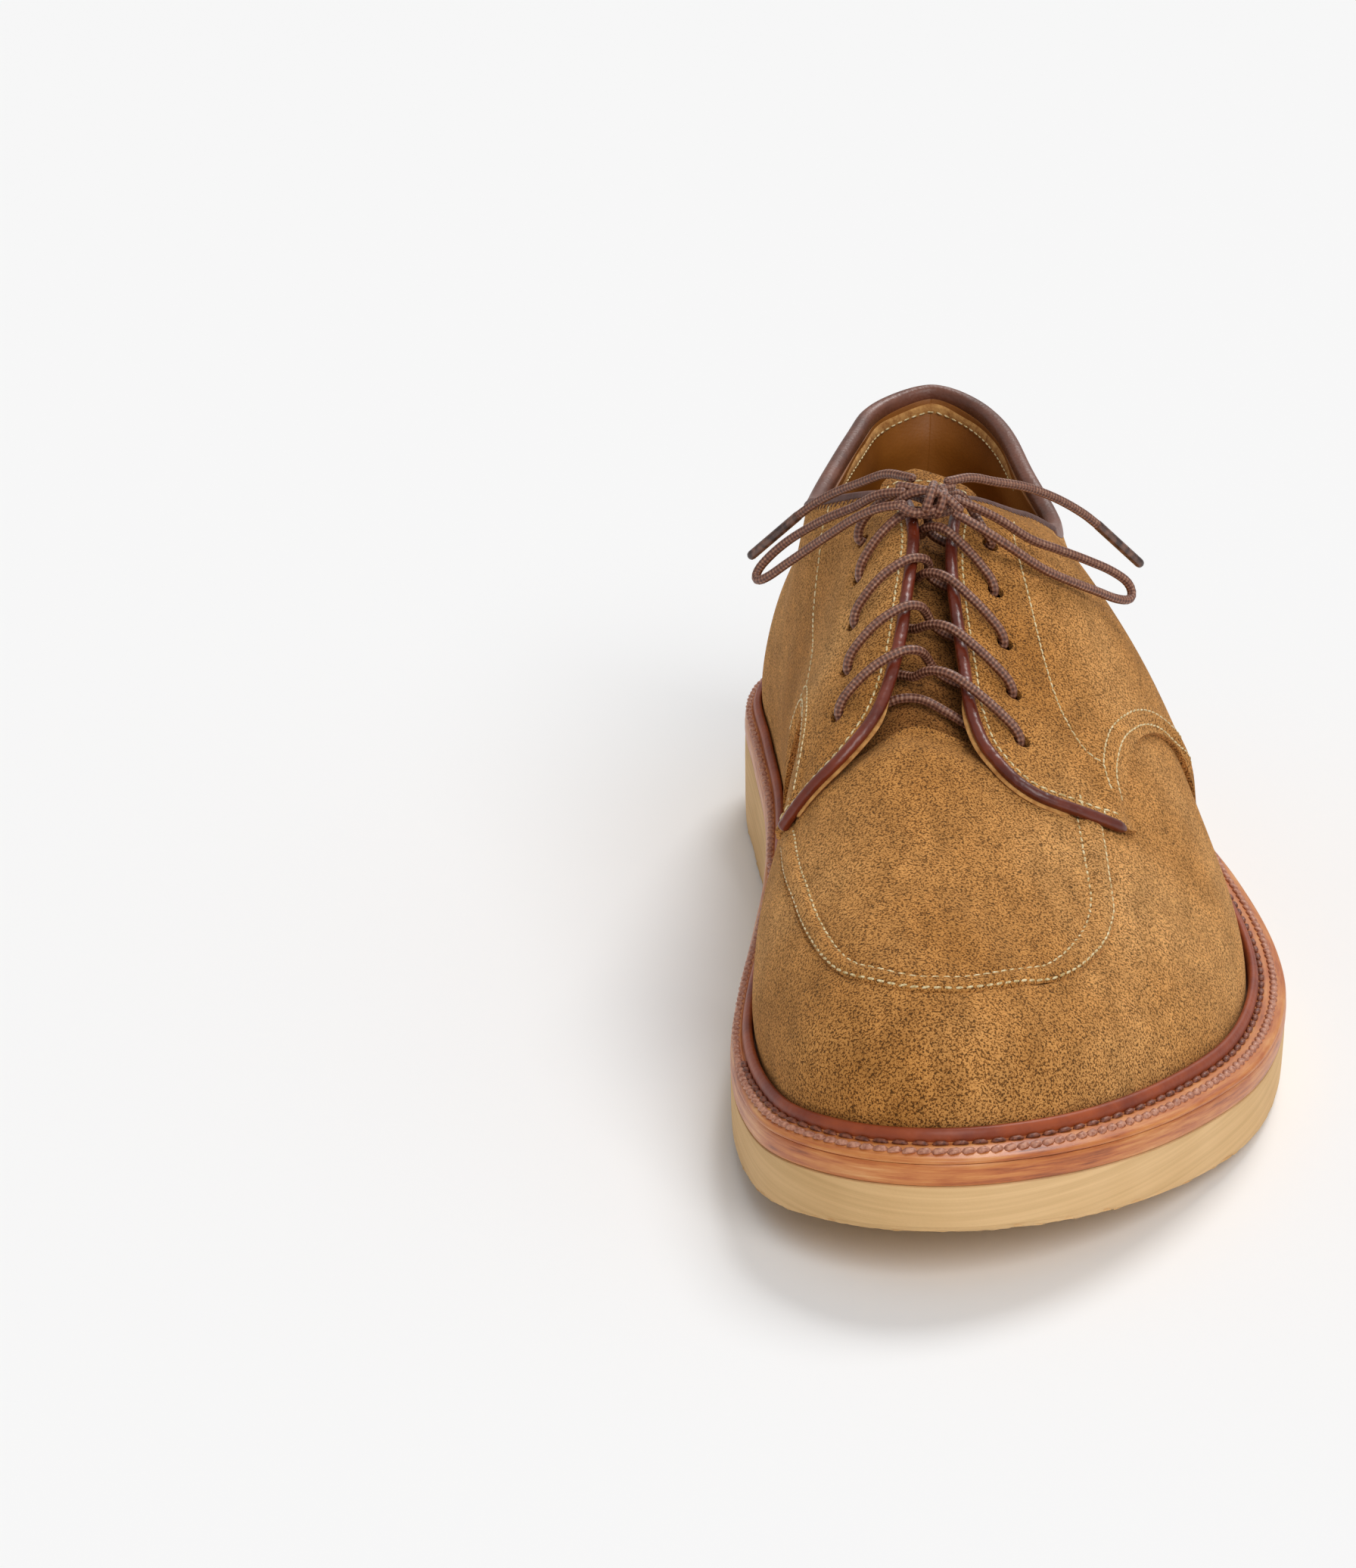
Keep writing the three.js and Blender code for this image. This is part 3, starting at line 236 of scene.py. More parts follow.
def last_normal(u, v):
    step = 0.01
    u, v = np.broadcast_arrays(np.asarray(u, float), np.clip(np.asarray(v, float), step, 1 - 2 * step))
    along = last_point(u + step, v) - last_point(u - step, v)
    up = last_point(u, v + step) - last_point(u, v - step)
    normal = np.cross(along, up)
    return normal / np.linalg.norm(normal, axis=-1, keepdims=True)


def off_last(u, v, height):
    return last_point(u, v) + last_normal(u, v) * np.asarray(height, float)[..., None]


outline = station(np.arange(20 * COUNT) / 20)[:, :2]
SHIFT = np.array([*(-(outline.min(0) + outline.max(0)) / 2), 0])


def ridge_station(y, medial):
    """The station on one side whose top lies at y on the ridge."""
    u = np.linspace(6, 12, 600) if medial else np.linspace(20, 14, 600)
    tops = station(u)[:, 3]
    order = np.argsort(tops)
    return np.interp(y, tops[order], u[order])


# ---------------------------------------------------------------------------
# Camera
# ---------------------------------------------------------------------------
bpy.ops.object.select_all(action="DESELECT")
bpy.ops.object.camera_add(location=(-0.0685, -0.7707, 0.315), rotation=(math.radians(70.7), 0, 0))
camera = bpy.context.object
camera.name = "camera"
camera.data.sensor_fit = "HORIZONTAL"
camera.data.sensor_width = 36
camera.data.lens = 100.45
camera.data.clip_start = 0.01
camera.data.clip_end = 50
bpy.context.scene.camera = camera


# ---------------------------------------------------------------------------
# Making meshes
# ---------------------------------------------------------------------------
def finished(piece, name, body=BODY):
    piece.name = name
    piece.data.name = name
    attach(piece, body)


def complete(piece, name, material, slot, *nodes, angle=None, body=BODY):
    """Names, shades and dresses a piece, and hides the imported parts that it stands for."""
    finished(piece, name, body)
    if angle is not None:
        smooth_shaded(piece, angle)
    dress(piece, material)
    if nodes:
        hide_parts(*nodes)
    return piece


def choose(piece):
    bpy.ops.object.select_all(action="DESELECT")
    piece.select_set(True)
    bpy.context.view_layer.objects.active = piece


def in_edit_mode(piece, *steps):
    """Runs edit-mode operators on the whole mesh, each a (operator, settings) pair."""
    choose(piece)
    bpy.ops.object.mode_set(mode="EDIT")
    bpy.ops.mesh.select_all(action="SELECT")
    for operator, settings in steps:
        operator(**settings)
    bpy.ops.object.mode_set(mode="OBJECT")


def modify(piece, kind, **settings):
    choose(piece)
    modifier = piece.modifiers.new(kind.title(), kind)
    for key, value in settings.items():
        setattr(modifier, key, value)
    bpy.ops.object.modifier_apply(modifier=modifier.name)


def smooth_shaded(piece, angle=40):
    choose(piece)
    bpy.ops.object.shade_smooth_by_angle(angle=math.radians(angle))


def grid(places, outward):
    """A grid laid out in rows and columns, its corners moved to the given places in
    millimetres. Its map is in millimetres too: U along the rows, V across them."""
    down = places[1:, :-1] - places[:-1, :-1]
    right = places[:-1, 1:] - places[:-1, :-1]
    if np.einsum("ijk,ijk->", np.cross(right, down), outward[:-1, :-1]) < 0:
        places = places[:, ::-1]
    rows, columns = places.shape[:2]
    bpy.ops.object.select_all(action="DESELECT")
    bpy.ops.mesh.primitive_grid_add(x_subdivisions=columns - 1, y_subdivisions=rows - 1, size=1)
    piece = bpy.context.object
    mesh = piece.data
    mesh.vertices.foreach_set("co", ((places + SHIFT) * MM).reshape(-1))
    along = np.zeros((rows, columns))
    along[1:] = np.cumsum(np.linalg.norm(np.diff(places, axis=0), axis=2).mean(1))[:, None]
    across = np.zeros((rows, columns))
    across[:, 1:] = np.cumsum(np.linalg.norm(np.diff(places, axis=1), axis=2).mean(0))[None]
    corner = np.zeros(len(mesh.loops), int)
    mesh.loops.foreach_get("vertex_index", corner)
    flat = np.stack([along.reshape(-1)[corner], across.reshape(-1)[corner]], 1)
    mesh.uv_layers.active.data.foreach_set("uv", flat.reshape(-1))
    mesh.update()
    in_edit_mode(piece, (bpy.ops.mesh.remove_doubles, {"threshold": 2e-6}))
    return piece


def join(pieces):
    bpy.ops.object.select_all(action="DESELECT")
    for piece in pieces:
        piece.select_set(True)
    bpy.context.view_layer.objects.active = pieces[0]
    bpy.ops.object.join()
    return bpy.context.object


def leather_sheet(piece, thickness, rim=0.25):
    """Gives a face its thickness, inwards, and rounds the cut rim."""
    modify(piece, "SOLIDIFY", thickness=thickness * MM, offset=-1, use_even_offset=False)
    modify(piece, "BEVEL", width=rim * MM, segments=2, limit_method="ANGLE", angle_limit=math.radians(55))
    smooth_shaded(piece)


def unit(vectors):
    return vectors / np.maximum(np.linalg.norm(vectors, axis=-1, keepdims=True), 1e-9)


def evened(rows, reach):
    """Each row averaged with its neighbours up to `reach` away; the two ends stay where they are."""
    weights = np.hanning(2 * reach + 1)
    before = 2 * rows[:1] - rows[reach:0:-1]
    after = 2 * rows[-1:] - rows[-2:-reach - 2:-1]
    padded = np.concatenate([before, rows, after])
    return np.stack([np.convolve(padded[:, i], weights / weights.sum(), "valid") for i in range(3)], 1)


def smooth_path(points, count):
    """Evenly spaced places on a smooth curve through the points."""
    points = np.array(points, float)
    knots = np.concatenate([[0], np.cumsum(np.linalg.norm(np.diff(points, axis=0), axis=1) ** 0.5)])
    before = 2 * points[0] - points[1]
    after = 2 * points[-1] - points[-2]
    padded = np.vstack([before, points, after])
    times = np.concatenate([[-knots[1]], knots, [2 * knots[-1] - knots[-2]]])
    fine = []
    for t in np.linspace(0, knots[-1], 24 * len(points)):
        i = min(max(int(np.searchsorted(times, t, side="right")) - 1, 1), len(points) - 1)
        t0, t1, t2, t3 = times[i - 1:i + 3]
        p0, p1, p2, p3 = padded[i - 1:i + 3]
        a1 = mix(p0, p1, (t - t0) / (t1 - t0))
        a2 = mix(p1, p2, (t - t1) / (t2 - t1))
        a3 = mix(p2, p3, (t - t2) / (t3 - t2))
        b1 = mix(a1, a2, (t - t0) / (t2 - t0))
        b2 = mix(a2, a3, (t - t1) / (t3 - t1))
        fine.append(mix(b1, b2, (t - t1) / (t2 - t1)))
    return even_path(np.array(fine), count)


def even_path(points, count):
    length = np.concatenate([[0], np.cumsum(np.linalg.norm(np.diff(points, axis=0), axis=1))])
    at = np.linspace(0, length[-1], count)
    return np.stack([np.interp(at, length, points[:, k]) for k in range(3)], 1)


def path_length(points):
    return float(np.linalg.norm(np.diff(points, axis=0), axis=1).sum())


def tube(path, radius, sides=14):
    """A round cord along a path, with domed ends."""
    tangent = unit(np.gradient(path, axis=0))
    side = np.zeros_like(path)
    side[0] = unit(np.cross(tangent[0], [0.3, 0.2, 1.0]))
    for i in range(1, len(path)):
        side[i] = unit(side[i - 1] - tangent[i] * np.dot(side[i - 1], tangent[i]))
    up = np.cross(tangent, side)
    dome = [(1.0, 0.0), (0.85, 0.5), (0.5, 0.87)]
    start = [path[0] - tangent[0] * radius * a for a, _ in dome]
    end = [path[-1] + tangent[-1] * radius * a for a, _ in reversed(dome)]
    scale = np.concatenate([[b for _, b in dome], np.ones(len(path)), [b for _, b in reversed(dome)]])
    path = np.vstack([start, path, end])
    side = np.vstack([[side[0]] * 3, side, [side[-1]] * 3])
    up = np.vstack([[up[0]] * 3, up, [up[-1]] * 3])
    angle = np.linspace(0, 2 * math.pi, sides + 1)[None, :, None]
    circle = side[:, None] * np.cos(angle) + up[:, None] * np.sin(angle)
    return grid(path[:, None] + circle * (radius * scale)[:, None, None], circle)


# ---------------------------------------------------------------------------
# Finishes
# ---------------------------------------------------------------------------
def tone(text):
    """An sRGB hex value as a linear colour."""
    parts = [int(text[i:i + 2], 16) / 255 for i in (1, 3, 5)]
    return [c / 12.92 if c <= 0.04045 else ((c + 0.055) / 1.055) ** 2.4 for c in parts] + [1.0]


def add(material, kind, settings=None, links=None, stops=(), **inputs):
    """Adds a shader node; inputs are values or (node, output) pairs by socket name or number. A colour
    ramp's stops are (position, colour) pairs."""
    tree = material.node_tree
    made = tree.nodes.new("ShaderNode" + kind)
    for key, value in (settings or {}).items():
        setattr(made, key, value)
    wanted = dict(inputs)
    wanted.update(links or {})
    for key, value in wanted.items():
        socket = made.inputs[key if isinstance(key, int) else key.replace("_", " ")]
        if isinstance(value, tuple) and hasattr(value[0], "outputs"):
            tree.links.new(value[0].outputs[value[1]], socket)
        else:
            socket.default_value = value
    while len(stops) > len(made.color_ramp.elements if stops else ()):
        made.color_ramp.elements.new(0.5)
    for element, (position, colour) in zip(made.color_ramp.elements if stops else (), stops):
        element.position = position
        element.color = tone(colour)
    return made


def new_material(name, **sockets):
    material = bpy.data.materials.new(name)
    material.use_nodes = True
    shader = material.node_tree.nodes["Principled BSDF"]
    for key, value in sockets.items():
        shader.inputs[key.replace("_", " ")].default_value = value
    return material, shader


def feed(material, source, output, shader, socket):
    material.node_tree.links.new(source.outputs[output], shader.inputs[socket])


def suede_material(name, deep, base, light):
    """Suede split with a brushed nap: the short fibres lie in patches that catch the light, a painted sheen
    over the suede's own tone, and the shade in the small gaps between their tips is painted as dark specks."""
    m, shader = new_material(name, Roughness=0.92, Sheen_Weight=0.25, Sheen_Roughness=0.45,
                             Sheen_Tint=tone("#d9b078"), Specular_IOR_Level=0.15)
    place = add(m, "TexCoord")
    patches = add(m, "TexNoise", Vector=(place, "Object"), Scale=17, Detail=4, Roughness=0.5,
                  Distortion=0.3)
    # patch colours: the suede's own uneven tone, with painted sheen where the nap catches the light
    field = add(m, "ValToRGB", stops=[(0.3, deep), (0.5, base), (0.7, light)], Fac=(patches, "Fac"))
    streak_place = add(m, "Mapping", Vector=(place, "Object"), Scale=(1.0, 0.35, 0.7))
    streaks = add(m, "TexNoise", Vector=(streak_place, "Vector"), Scale=240, Detail=3, Roughness=0.6)
    brushed = add(m, "ValToRGB", stops=[(0.3, "#b4b0a8"), (0.65, "#ffffff")], Fac=(streaks, "Fac"))
    tinted = add(m, "Mix", {"data_type": "RGBA", "blend_type": "MULTIPLY"},
                 links={0: 0.55, 6: (field, "Color"), 7: (brushed, "Color")})
    # fibre tips of about 0.25 mm, drawn at 0.5 mm so that they show; the gaps between them are painted shade
    speckle = add(m, "TexNoise", Vector=(place, "Object"), Scale=2300, Detail=2, Roughness=0.75)
    # painted shade: dark specks multiplied into the colour where the fibre gaps would be shaded
    fibre_gap_shade = add(m, "ValToRGB", stops=[(0.4, "#2c1a0a"), (0.47, "#b39c7c"), (0.53, "#ffffff")],
               Fac=(speckle, "Fac"))
    napped = add(m, "Mix", {"data_type": "RGBA", "blend_type": "MULTIPLY"},
                 links={0: 0.85, 6: (tinted, 2), 7: (fibre_gap_shade, "Color")})
    feed(m, napped, 2, shader, "Base Color")
    bump = add(m, "Bump", Strength=0.7, Distance=0.00035, Height=(speckle, "Fac"))
    soft = add(m, "Bump", Strength=0.35, Distance=0.0008, Height=(streaks, "Fac"),
               Normal=(bump, "Normal"))
    feed(m, soft, "Normal", shader, "Normal")
    return m


def leather_material(name, deep, base, roughness, coat=0.0, grain=900, wrinkle=0.0004, height=0.7,
                     scale=70):
    """Chrome- or vegetable-tanned leather: a fine grain, and a finish coat that gives the gloss."""
    m, shader = new_material(name, Roughness=roughness, Coat_Weight=coat, Coat_Roughness=0.25, IOR=1.5)
    place = add(m, "TexCoord")
    clouds = add(m, "TexNoise", Vector=(place, "Object"), Scale=scale, Detail=5, Roughness=0.6)
    colour = add(m, "ValToRGB", stops=[(0.35, deep), (0.66, base)], Fac=(clouds, "Fac"))
    feed(m, colour, "Color", shader, "Base Color")
    cells = add(m, "TexVoronoi", {"feature": "SMOOTH_F1"}, Vector=(place, "Object"), Scale=grain)
    creases = add(m, "TexNoise", Vector=(place, "Object"), Scale=grain * 0.6, Detail=3)
    bump = add(m, "Bump", Strength=height, Distance=wrinkle, Height=(cells, "Distance"))
    fine = add(m, "Bump", Strength=0.4, Distance=wrinkle, Height=(creases, "Fac"), Normal=(bump, "Normal"))
    feed(m, fine, "Normal", shader, "Normal")
    return m


suede = suede_material("tan_brushed_suede", "#c68843", "#dc9f5a", "#ecb370")
tongue_suede = suede_material("tan_suede_tongue", "#a8703a", "#c0874a", "#d1985a")
binding_leather = leather_material("waxed_binding_leather", "#52180a", "#7c3016", 0.36, coat=0.3,
                                   grain=700, wrinkle=0.0003)
topline_leather = leather_material("topline_binding_leather", "#5c3424", "#7d4b38", 0.45, coat=0.1,
                                   grain=1200, wrinkle=0.00015)
ear_leather = leather_material("ear_piping_leather", "#4d2f28", "#7a5850", 0.6, grain=1400, wrinkle=0.0002)
lining_leather = leather_material("vegetable_tanned_lining", "#7a430e", "#a0601c", 0.5, grain=1600,
                                  wrinkle=0.00006, scale=22)
raw_leather = leather_material("raw_leather_edge", "#a0662c", "#d6a05c", 0.85, grain=1500,
                               wrinkle=0.0002, scale=400)
lip_leather = leather_material("storm_welt_lip", "#7c2e10", "#a64c20", 0.5, coat=0.05, wrinkle=0.0001)
board = leather_material("bonded_fibre_board", "#8c6a44", "#a98258", 0.9, grain=1500)
cork = leather_material("pressed_cork", "#76542f", "#a9814f", 0.95, grain=500, wrinkle=0.0006)


def lace_material():
    """Waxed cotton lace: a round braid of eight thin strands whose wax catches small lights."""
    m, shader = new_material("waxed_braided_lace", Roughness=0.5, Coat_Weight=0.25, Coat_Roughness=0.35)
    cover = add(m, "UVMap", {"uv_map": "UVMap"})
    parts = add(m, "SeparateXYZ", Vector=(cover, "UV"))
    ways = []
    for sign in (1, -1):
        run = add(m, "Math", {"operation": "MULTIPLY"}, links={0: (parts, "X"), 1: 3.4})
        round_ = add(m, "Math", {"operation": "MULTIPLY"}, links={0: (parts, "Y"), 1: 3.33 * sign})
        both = add(m, "Math", {"operation": "ADD"}, links={0: (run, 0), 1: (round_, 0)})
        ways.append(add(m, "Math", {"operation": "SINE"}, links={0: (both, 0)}))
    weave = add(m, "Math", {"operation": "MULTIPLY"}, links={0: (ways[0], 0), 1: (ways[1], 0)})
    level = add(m, "Math", {"operation": "MULTIPLY_ADD"}, links={0: (weave, 0), 1: 0.5, 2: 0.5})
    place = add(m, "TexCoord")
    wax = add(m, "TexNoise", Vector=(place, "Object"), Scale=1300, Detail=3)
    # painted shade and highlight: the braid's hollows are painted dark, and its crowns, where the wax noise
    # is high, are painted with light glints
    braid_shade_and_glint = add(m, "Math", {"operation": "MULTIPLY"}, links={0: (level, 0), 1: (wax, "Fac")})
    colour = add(m, "ValToRGB", stops=[(0.04, "#4e2a1d"), (0.28, "#83503a"), (0.6, "#b58a70")],
                 Fac=(braid_shade_and_glint, "Value"))
    feed(m, colour, "Color", shader, "Base Color")
    bump = add(m, "Bump", Strength=0.9, Distance=0.00025, Height=(level, 0))
    feed(m, bump, "Normal", shader, "Normal")
    return m


lace_cotton = lace_material()


def thread_material(name, deep, base):
    """Waxed linen or polyester thread: tight plies, a little shine."""
    m, shader = new_material(name, Roughness=0.55, Coat_Weight=0.1)
    place = add(m, "TexCoord")
    plies = add(m, "TexNoise", Vector=(place, "Object"), Scale=1400, Detail=2)
    colour = add(m, "ValToRGB", stops=[(0.35, deep), (0.62, base)], Fac=(plies, "Fac"))
    feed(m, colour, "Color", shader, "Base Color")
    bump = add(m, "Bump", Strength=0.5, Distance=0.0002, Height=(plies, "Fac"))
    feed(m, bump, "Normal", shader, "Normal")
    return m


cream_thread = thread_material("cream_thread", "#b79a5c", "#efdfb2")
brown_thread = thread_material("brown_thread", "#3d2016", "#6e4534")
groove_thread = thread_material("groove_thread", "#5a2a1a", "#8f5036")
lock_thread = thread_material("natural_pink_thread", "#9a5f48", "#c98f74")


def edge_material():
    """Natural vegetable-tanned welt edge, wetted and burnished: streaks run along the edge."""
    m, shader = new_material("burnished_welt_edge", Roughness=0.42, Coat_Weight=0.15, Coat_Roughness=0.3)
    cover = add(m, "UVMap", {"uv_map": "UVMap"})
    stretched = add(m, "Mapping", Vector=(cover, "UV"), Scale=(0.06, 0.9, 1.0))
    streaks = add(m, "TexNoise", Vector=(stretched, "Vector"), Scale=1.0, Detail=6, Roughness=0.65)
    place = add(m, "TexCoord")
    clouds = add(m, "TexNoise", Vector=(place, "Object"), Scale=60, Detail=4)
    mixed = add(m, "Math", {"operation": "MULTIPLY_ADD"},
                links={0: (clouds, "Fac"), 1: 0.5, 2: (streaks, "Fac")})
    colour = add(m, "ValToRGB", stops=[
        (0.5, "#7a3a1a"), (0.66, "#b8642f"), (0.82, "#cf8344"), (0.97, "#dea063")], Fac=(mixed, "Value"))
    feed(m, colour, "Color", shader, "Base Color")
    bump = add(m, "Bump", Strength=0.35, Distance=0.0003, Height=(streaks, "Fac"))
    feed(m, bump, "Normal", shader, "Normal")
    return m


def foam_material():
    """Expanded rubber wedge, buffed on a wheel: fine closed cells and faint lines along the side."""
    m, shader = new_material("buffed_foam_rubber", Roughness=0.8, Specular_IOR_Level=0.3)
    place = add(m, "TexCoord")
    clouds = add(m, "TexNoise", Vector=(place, "Object"), Scale=22, Detail=3)
    field = add(m, "ValToRGB", stops=[(0.35, "#dab27c"), (0.65, "#e6c08d")], Fac=(clouds, "Fac"))
    flat = add(m, "Mapping", Vector=(place, "Object"), Scale=(12.0, 12.0, 700.0))
    lines = add(m, "TexNoise", Vector=(flat, "Vector"), Scale=1.0, Detail=3, Roughness=0.6)
    drawn = add(m, "ValToRGB", stops=[(0.35, "#dcd6c8"), (0.6, "#ffffff")], Fac=(lines, "Fac"))
    tinted = add(m, "Mix", {"data_type": "RGBA", "blend_type": "MULTIPLY"},
                 links={0: 0.5, 6: (field, "Color"), 7: (drawn, "Color")})
    feed(m, tinted, 2, shader, "Base Color")
    cells = add(m, "TexNoise", Vector=(place, "Object"), Scale=1600, Detail=2)
    bump = add(m, "Bump", Strength=0.4, Distance=0.0002, Height=(cells, "Fac"))
    ridges = add(m, "Bump", Strength=0.25, Distance=0.0003, Height=(lines, "Fac"), Normal=(bump, "Normal"))
    feed(m, ridges, "Normal", shader, "Normal")
    return m


edge_leather = edge_material()
foam = foam_material()


def film_material():
    """The clear brown film round a lace's end."""
    m, shader = new_material("aglet_film", Base_Color=tone("#4a2c22"), Roughness=0.28, Coat_Weight=0.35,
                             Coat_Roughness=0.08)
    place = add(m, "TexCoord")
    wrap = add(m, "TexNoise", Vector=(place, "Object"), Scale=500, Detail=2)
    shade = add(m, "ValToRGB", stops=[(0.4, "#3b2119"), (0.65, "#7a5646")], Fac=(wrap, "Fac"))
    feed(m, shade, "Color", shader, "Base Color")
    return m


def steel_material():
    """Spring steel with a brushed surface."""
    m, shader = new_material("spring_steel", Metallic=1.0, Roughness=0.35, Base_Color=tone("#9a9c9e"))
    place = add(m, "TexCoord")
    brush = add(m, "TexNoise", Vector=(place, "Object"), Scale=900)
    bump = add(m, "Bump", Strength=0.2, Distance=0.0001, Height=(brush, "Fac"))
    feed(m, bump, "Normal", shader, "Normal")
    return m


aglet_film = film_material()
shank_steel = steel_material()


def dress(piece, material):
    piece.data.materials.clear()
    piece.data.materials.append(material)


# ---------------------------------------------------------------------------
# Lace: the bow's free lengths first, then the crossings
# ---------------------------------------------------------------------------
LACE = LACE_DIAMETER / 2


def free_lace(name, points):
    path = evened(smooth_path(points, 90), 3)
    piece = complete(tube(path, LACE), f"{name}_braid", lace_cotton, "lace", name, angle=60)


def aglet(name, end, tip):
    direction = unit(np.subtract(tip, end))
    start = np.array(end) + direction * AGLET_GAP
    path = start + direction * np.linspace(0, AGLET_LENGTH, 24)[:, None]
    return complete(tube(path, LACE * FILM_OVER_LACE), f"{name}_film", aglet_film, "aglet", name, angle=60)


aglet_medial = aglet("aglet_medial", MEDIAL_END[-1], MEDIAL_AGLET_TIP)
aglet_lateral = aglet("aglet_lateral", LATERAL_END[-1], LATERAL_AGLET_TIP)

free_lace("bow_loop_medial", MEDIAL_LOOP)
free_lace("bow_loop_lateral", LATERAL_LOOP)
free_lace("lace_end_medial", MEDIAL_END)
free_lace("lace_end_lateral", LATERAL_END)


def held_lace(name, points):
    complete(tube(smooth_path(points, 56), LACE), f"{name}_braid", lace_cotton, "lace", name, angle=60)


def crossing(start, end, height):
    """A run of lace from an eyelet, over its own facing, across the ridge and under the other."""
    from_medial = start[0] < COUNT / 2
    y = (station(start[0])[3] + station(end[0])[3]) / 2 + (1.8 if from_medial else -1.8)

    def at(eyelet, medial, share, lift):
        return off_last(mix(eyelet[0], ridge_station(y, medial), share), mix(eyelet[1], 1, share), lift)

    return [
        at(start, from_medial, 0, LACE_IN_HOLE), at(start, from_medial, 0.01, 1.2),
        at(start, from_medial, 0.09, 2.7), at(start, from_medial, 0.25, 3.5),
        at(start, from_medial, 0.5, LACE_OVER), at(start, from_medial, 0.76, LACE_OVER),
        at(start, from_medial, 0.9, mix(height, LACE_OVER, 0.62)), at(start, from_medial, 1, height),
        at(end, not from_medial, 0.86, mix(height, LACE_UNDER, 0.75)),
        at(end, not from_medial, 0.7, LACE_UNDER),
        at(end, not from_medial, 0.4, LACE_UNDER), at(end, not from_medial, 0.12, LACE_UNDER),
    ]


for row in range(4):
    low = row < 3
    held_lace(f"lace_medial_strand_{row + 1}",
              crossing(EYELETS["medial"][row], EYELETS["lateral"][row + 1], 0.9 if low else 0.4))
    held_lace(f"lace_lateral_strand_{row + 1}",
              crossing(EYELETS["lateral"][row], EYELETS["medial"][row + 1], 0.7 if low else 0.2))

medial_low, lateral_low = EYELETS["medial"][0], EYELETS["lateral"][0]
bar_y = (station(medial_low[0])[3] + station(lateral_low[0])[3]) / 2
bar = [off_last(mix(medial_low[0], ridge_station(bar_y, True), s), mix(medial_low[1], 1, s), LACE_UNDER)
       for s in (0.1, 0.4, 0.7, 1)]
bar += [off_last(mix(lateral_low[0], ridge_station(bar_y, False), s), mix(lateral_low[1], 1, s), LACE_UNDER)
        for s in (0.7, 0.4, 0.1)]
held_lace("lace_bar", bar)

for name, (u, v), side in (("lace_medial_riser", EYELETS["medial"][-1], -1),
                           ("lace_lateral_riser", EYELETS["lateral"][-1], 1)):
    held_lace(name, [
        off_last(u, v, LACE_IN_HOLE), off_last(u, v, 1), off_last(u, v, 2.4),
        off_last(u, mix(v, 1, 0.18), LACE_OVER),
        KNOT + [side * 7, 8.6, -0.8], KNOT + [side * 2.6, 5.6, -0.4], KNOT + [side * 0.5, 3.6, -0.8]])

# The bow's knot: the first half hitch below, the wrap over it, and the strands drawn through
knot_runs = [
    [[-6.4, 3.4, -0.9], [-3.6, 1.6, 1.4], [0, 0.2, 2.3], [3.4, -1.2, 1.2], [6.2, -2.6, -1.0]],
    [[-6.2, -0.6, -0.8], [-3.4, -1.6, -2.0], [0, -1.8, -1.6], [3.2, -0.6, -0.8], [6.0, 1.2, 0.2]],
    [[-6.0, 5.2, 2.0], [-3.2, 3.9, 1.9], [-0.4, 3.0, 1.6], [2.6, 3.6, 1.8], [5.0, 5.2, 1.9]],
    [[-5.4, 2.0, -2.6], [-2.8, 0.6, -2.9], [0.2, 0.4, -3.0], [3.0, 1.6, -2.9], [5.6, 3.2, -2.4]],
]
wrap = [[0.9 * math.sin(a) + 0.5 * math.cos(a), 3.6 * math.cos(a) + 1.0, 3.0 * math.sin(a) + 0.2]
        for a in np.linspace(0.35 * math.pi, 2.3 * math.pi, 26)]
second_wrap = [[2.3 + 0.8 * math.sin(a), 2.7 * math.cos(a) + 0.6, 2.4 * math.sin(a) - 0.6]
               for a in np.linspace(0.1 * math.pi, 1.9 * math.pi, 20)]
knot = join([tube(smooth_path(KNOT + np.array(run), 40), LACE) for run in knot_runs + [wrap, second_wrap]])
complete(knot, "bow_knot", lace_cotton, "lace", "lace_knot", angle=60)


# ---------------------------------------------------------------------------
# Sole: wedge, midsole and storm welt as rings round the sole's edge
# ---------------------------------------------------------------------------
AROUND = 560
ring_u = np.linspace(0, COUNT, AROUND + 1)
ring_y = station(ring_u)[:, 1]
ring_deck = deck(ring_y)
rng = np.random.default_rng(11)


def ring(profile):
    """A closed band: profile gives (inset, height) pairs, numbers or arrays round the ring."""
    places = []
    for inset, height in profile:
        inset = np.broadcast_to(np.asarray(inset, float), ring_u.shape)
        height = np.broadcast_to(np.asarray(height, float), ring_u.shape)
        plan = inside(ring_u, inset)
        places.append(np.concatenate([plan, height[:, None]], 1))
    places = np.stack(places, 1)
    return grid(places, places - places.mean(1, keepdims=True))


def deck_plate(inset, height, rungs=150, steps=24, up=True):
    """A sheet inside the sole's outline; inset and height are functions."""
    s = (1 - np.cos(np.linspace(0, math.pi, rungs))) / 2
    medial, lateral = s * COUNT / 2, COUNT - s * COUNT / 2
    left, right = inside(medial, inset(medial)), inside(lateral, inset(lateral))
    t = np.linspace(0, 1, steps)[None, :, None]
    plan = left[:, None] * (1 - t) + right[:, None] * t
    edge_y = mix(station(medial)[:, 1][:, None], station(lateral)[:, 1][:, None], t[..., 0])
    places = np.concatenate([plan, height(edge_y, plan)[..., None]], -1)
    outward = np.zeros_like(places)
    outward[..., 2] = 1 if up else -1
    return grid(places, outward)


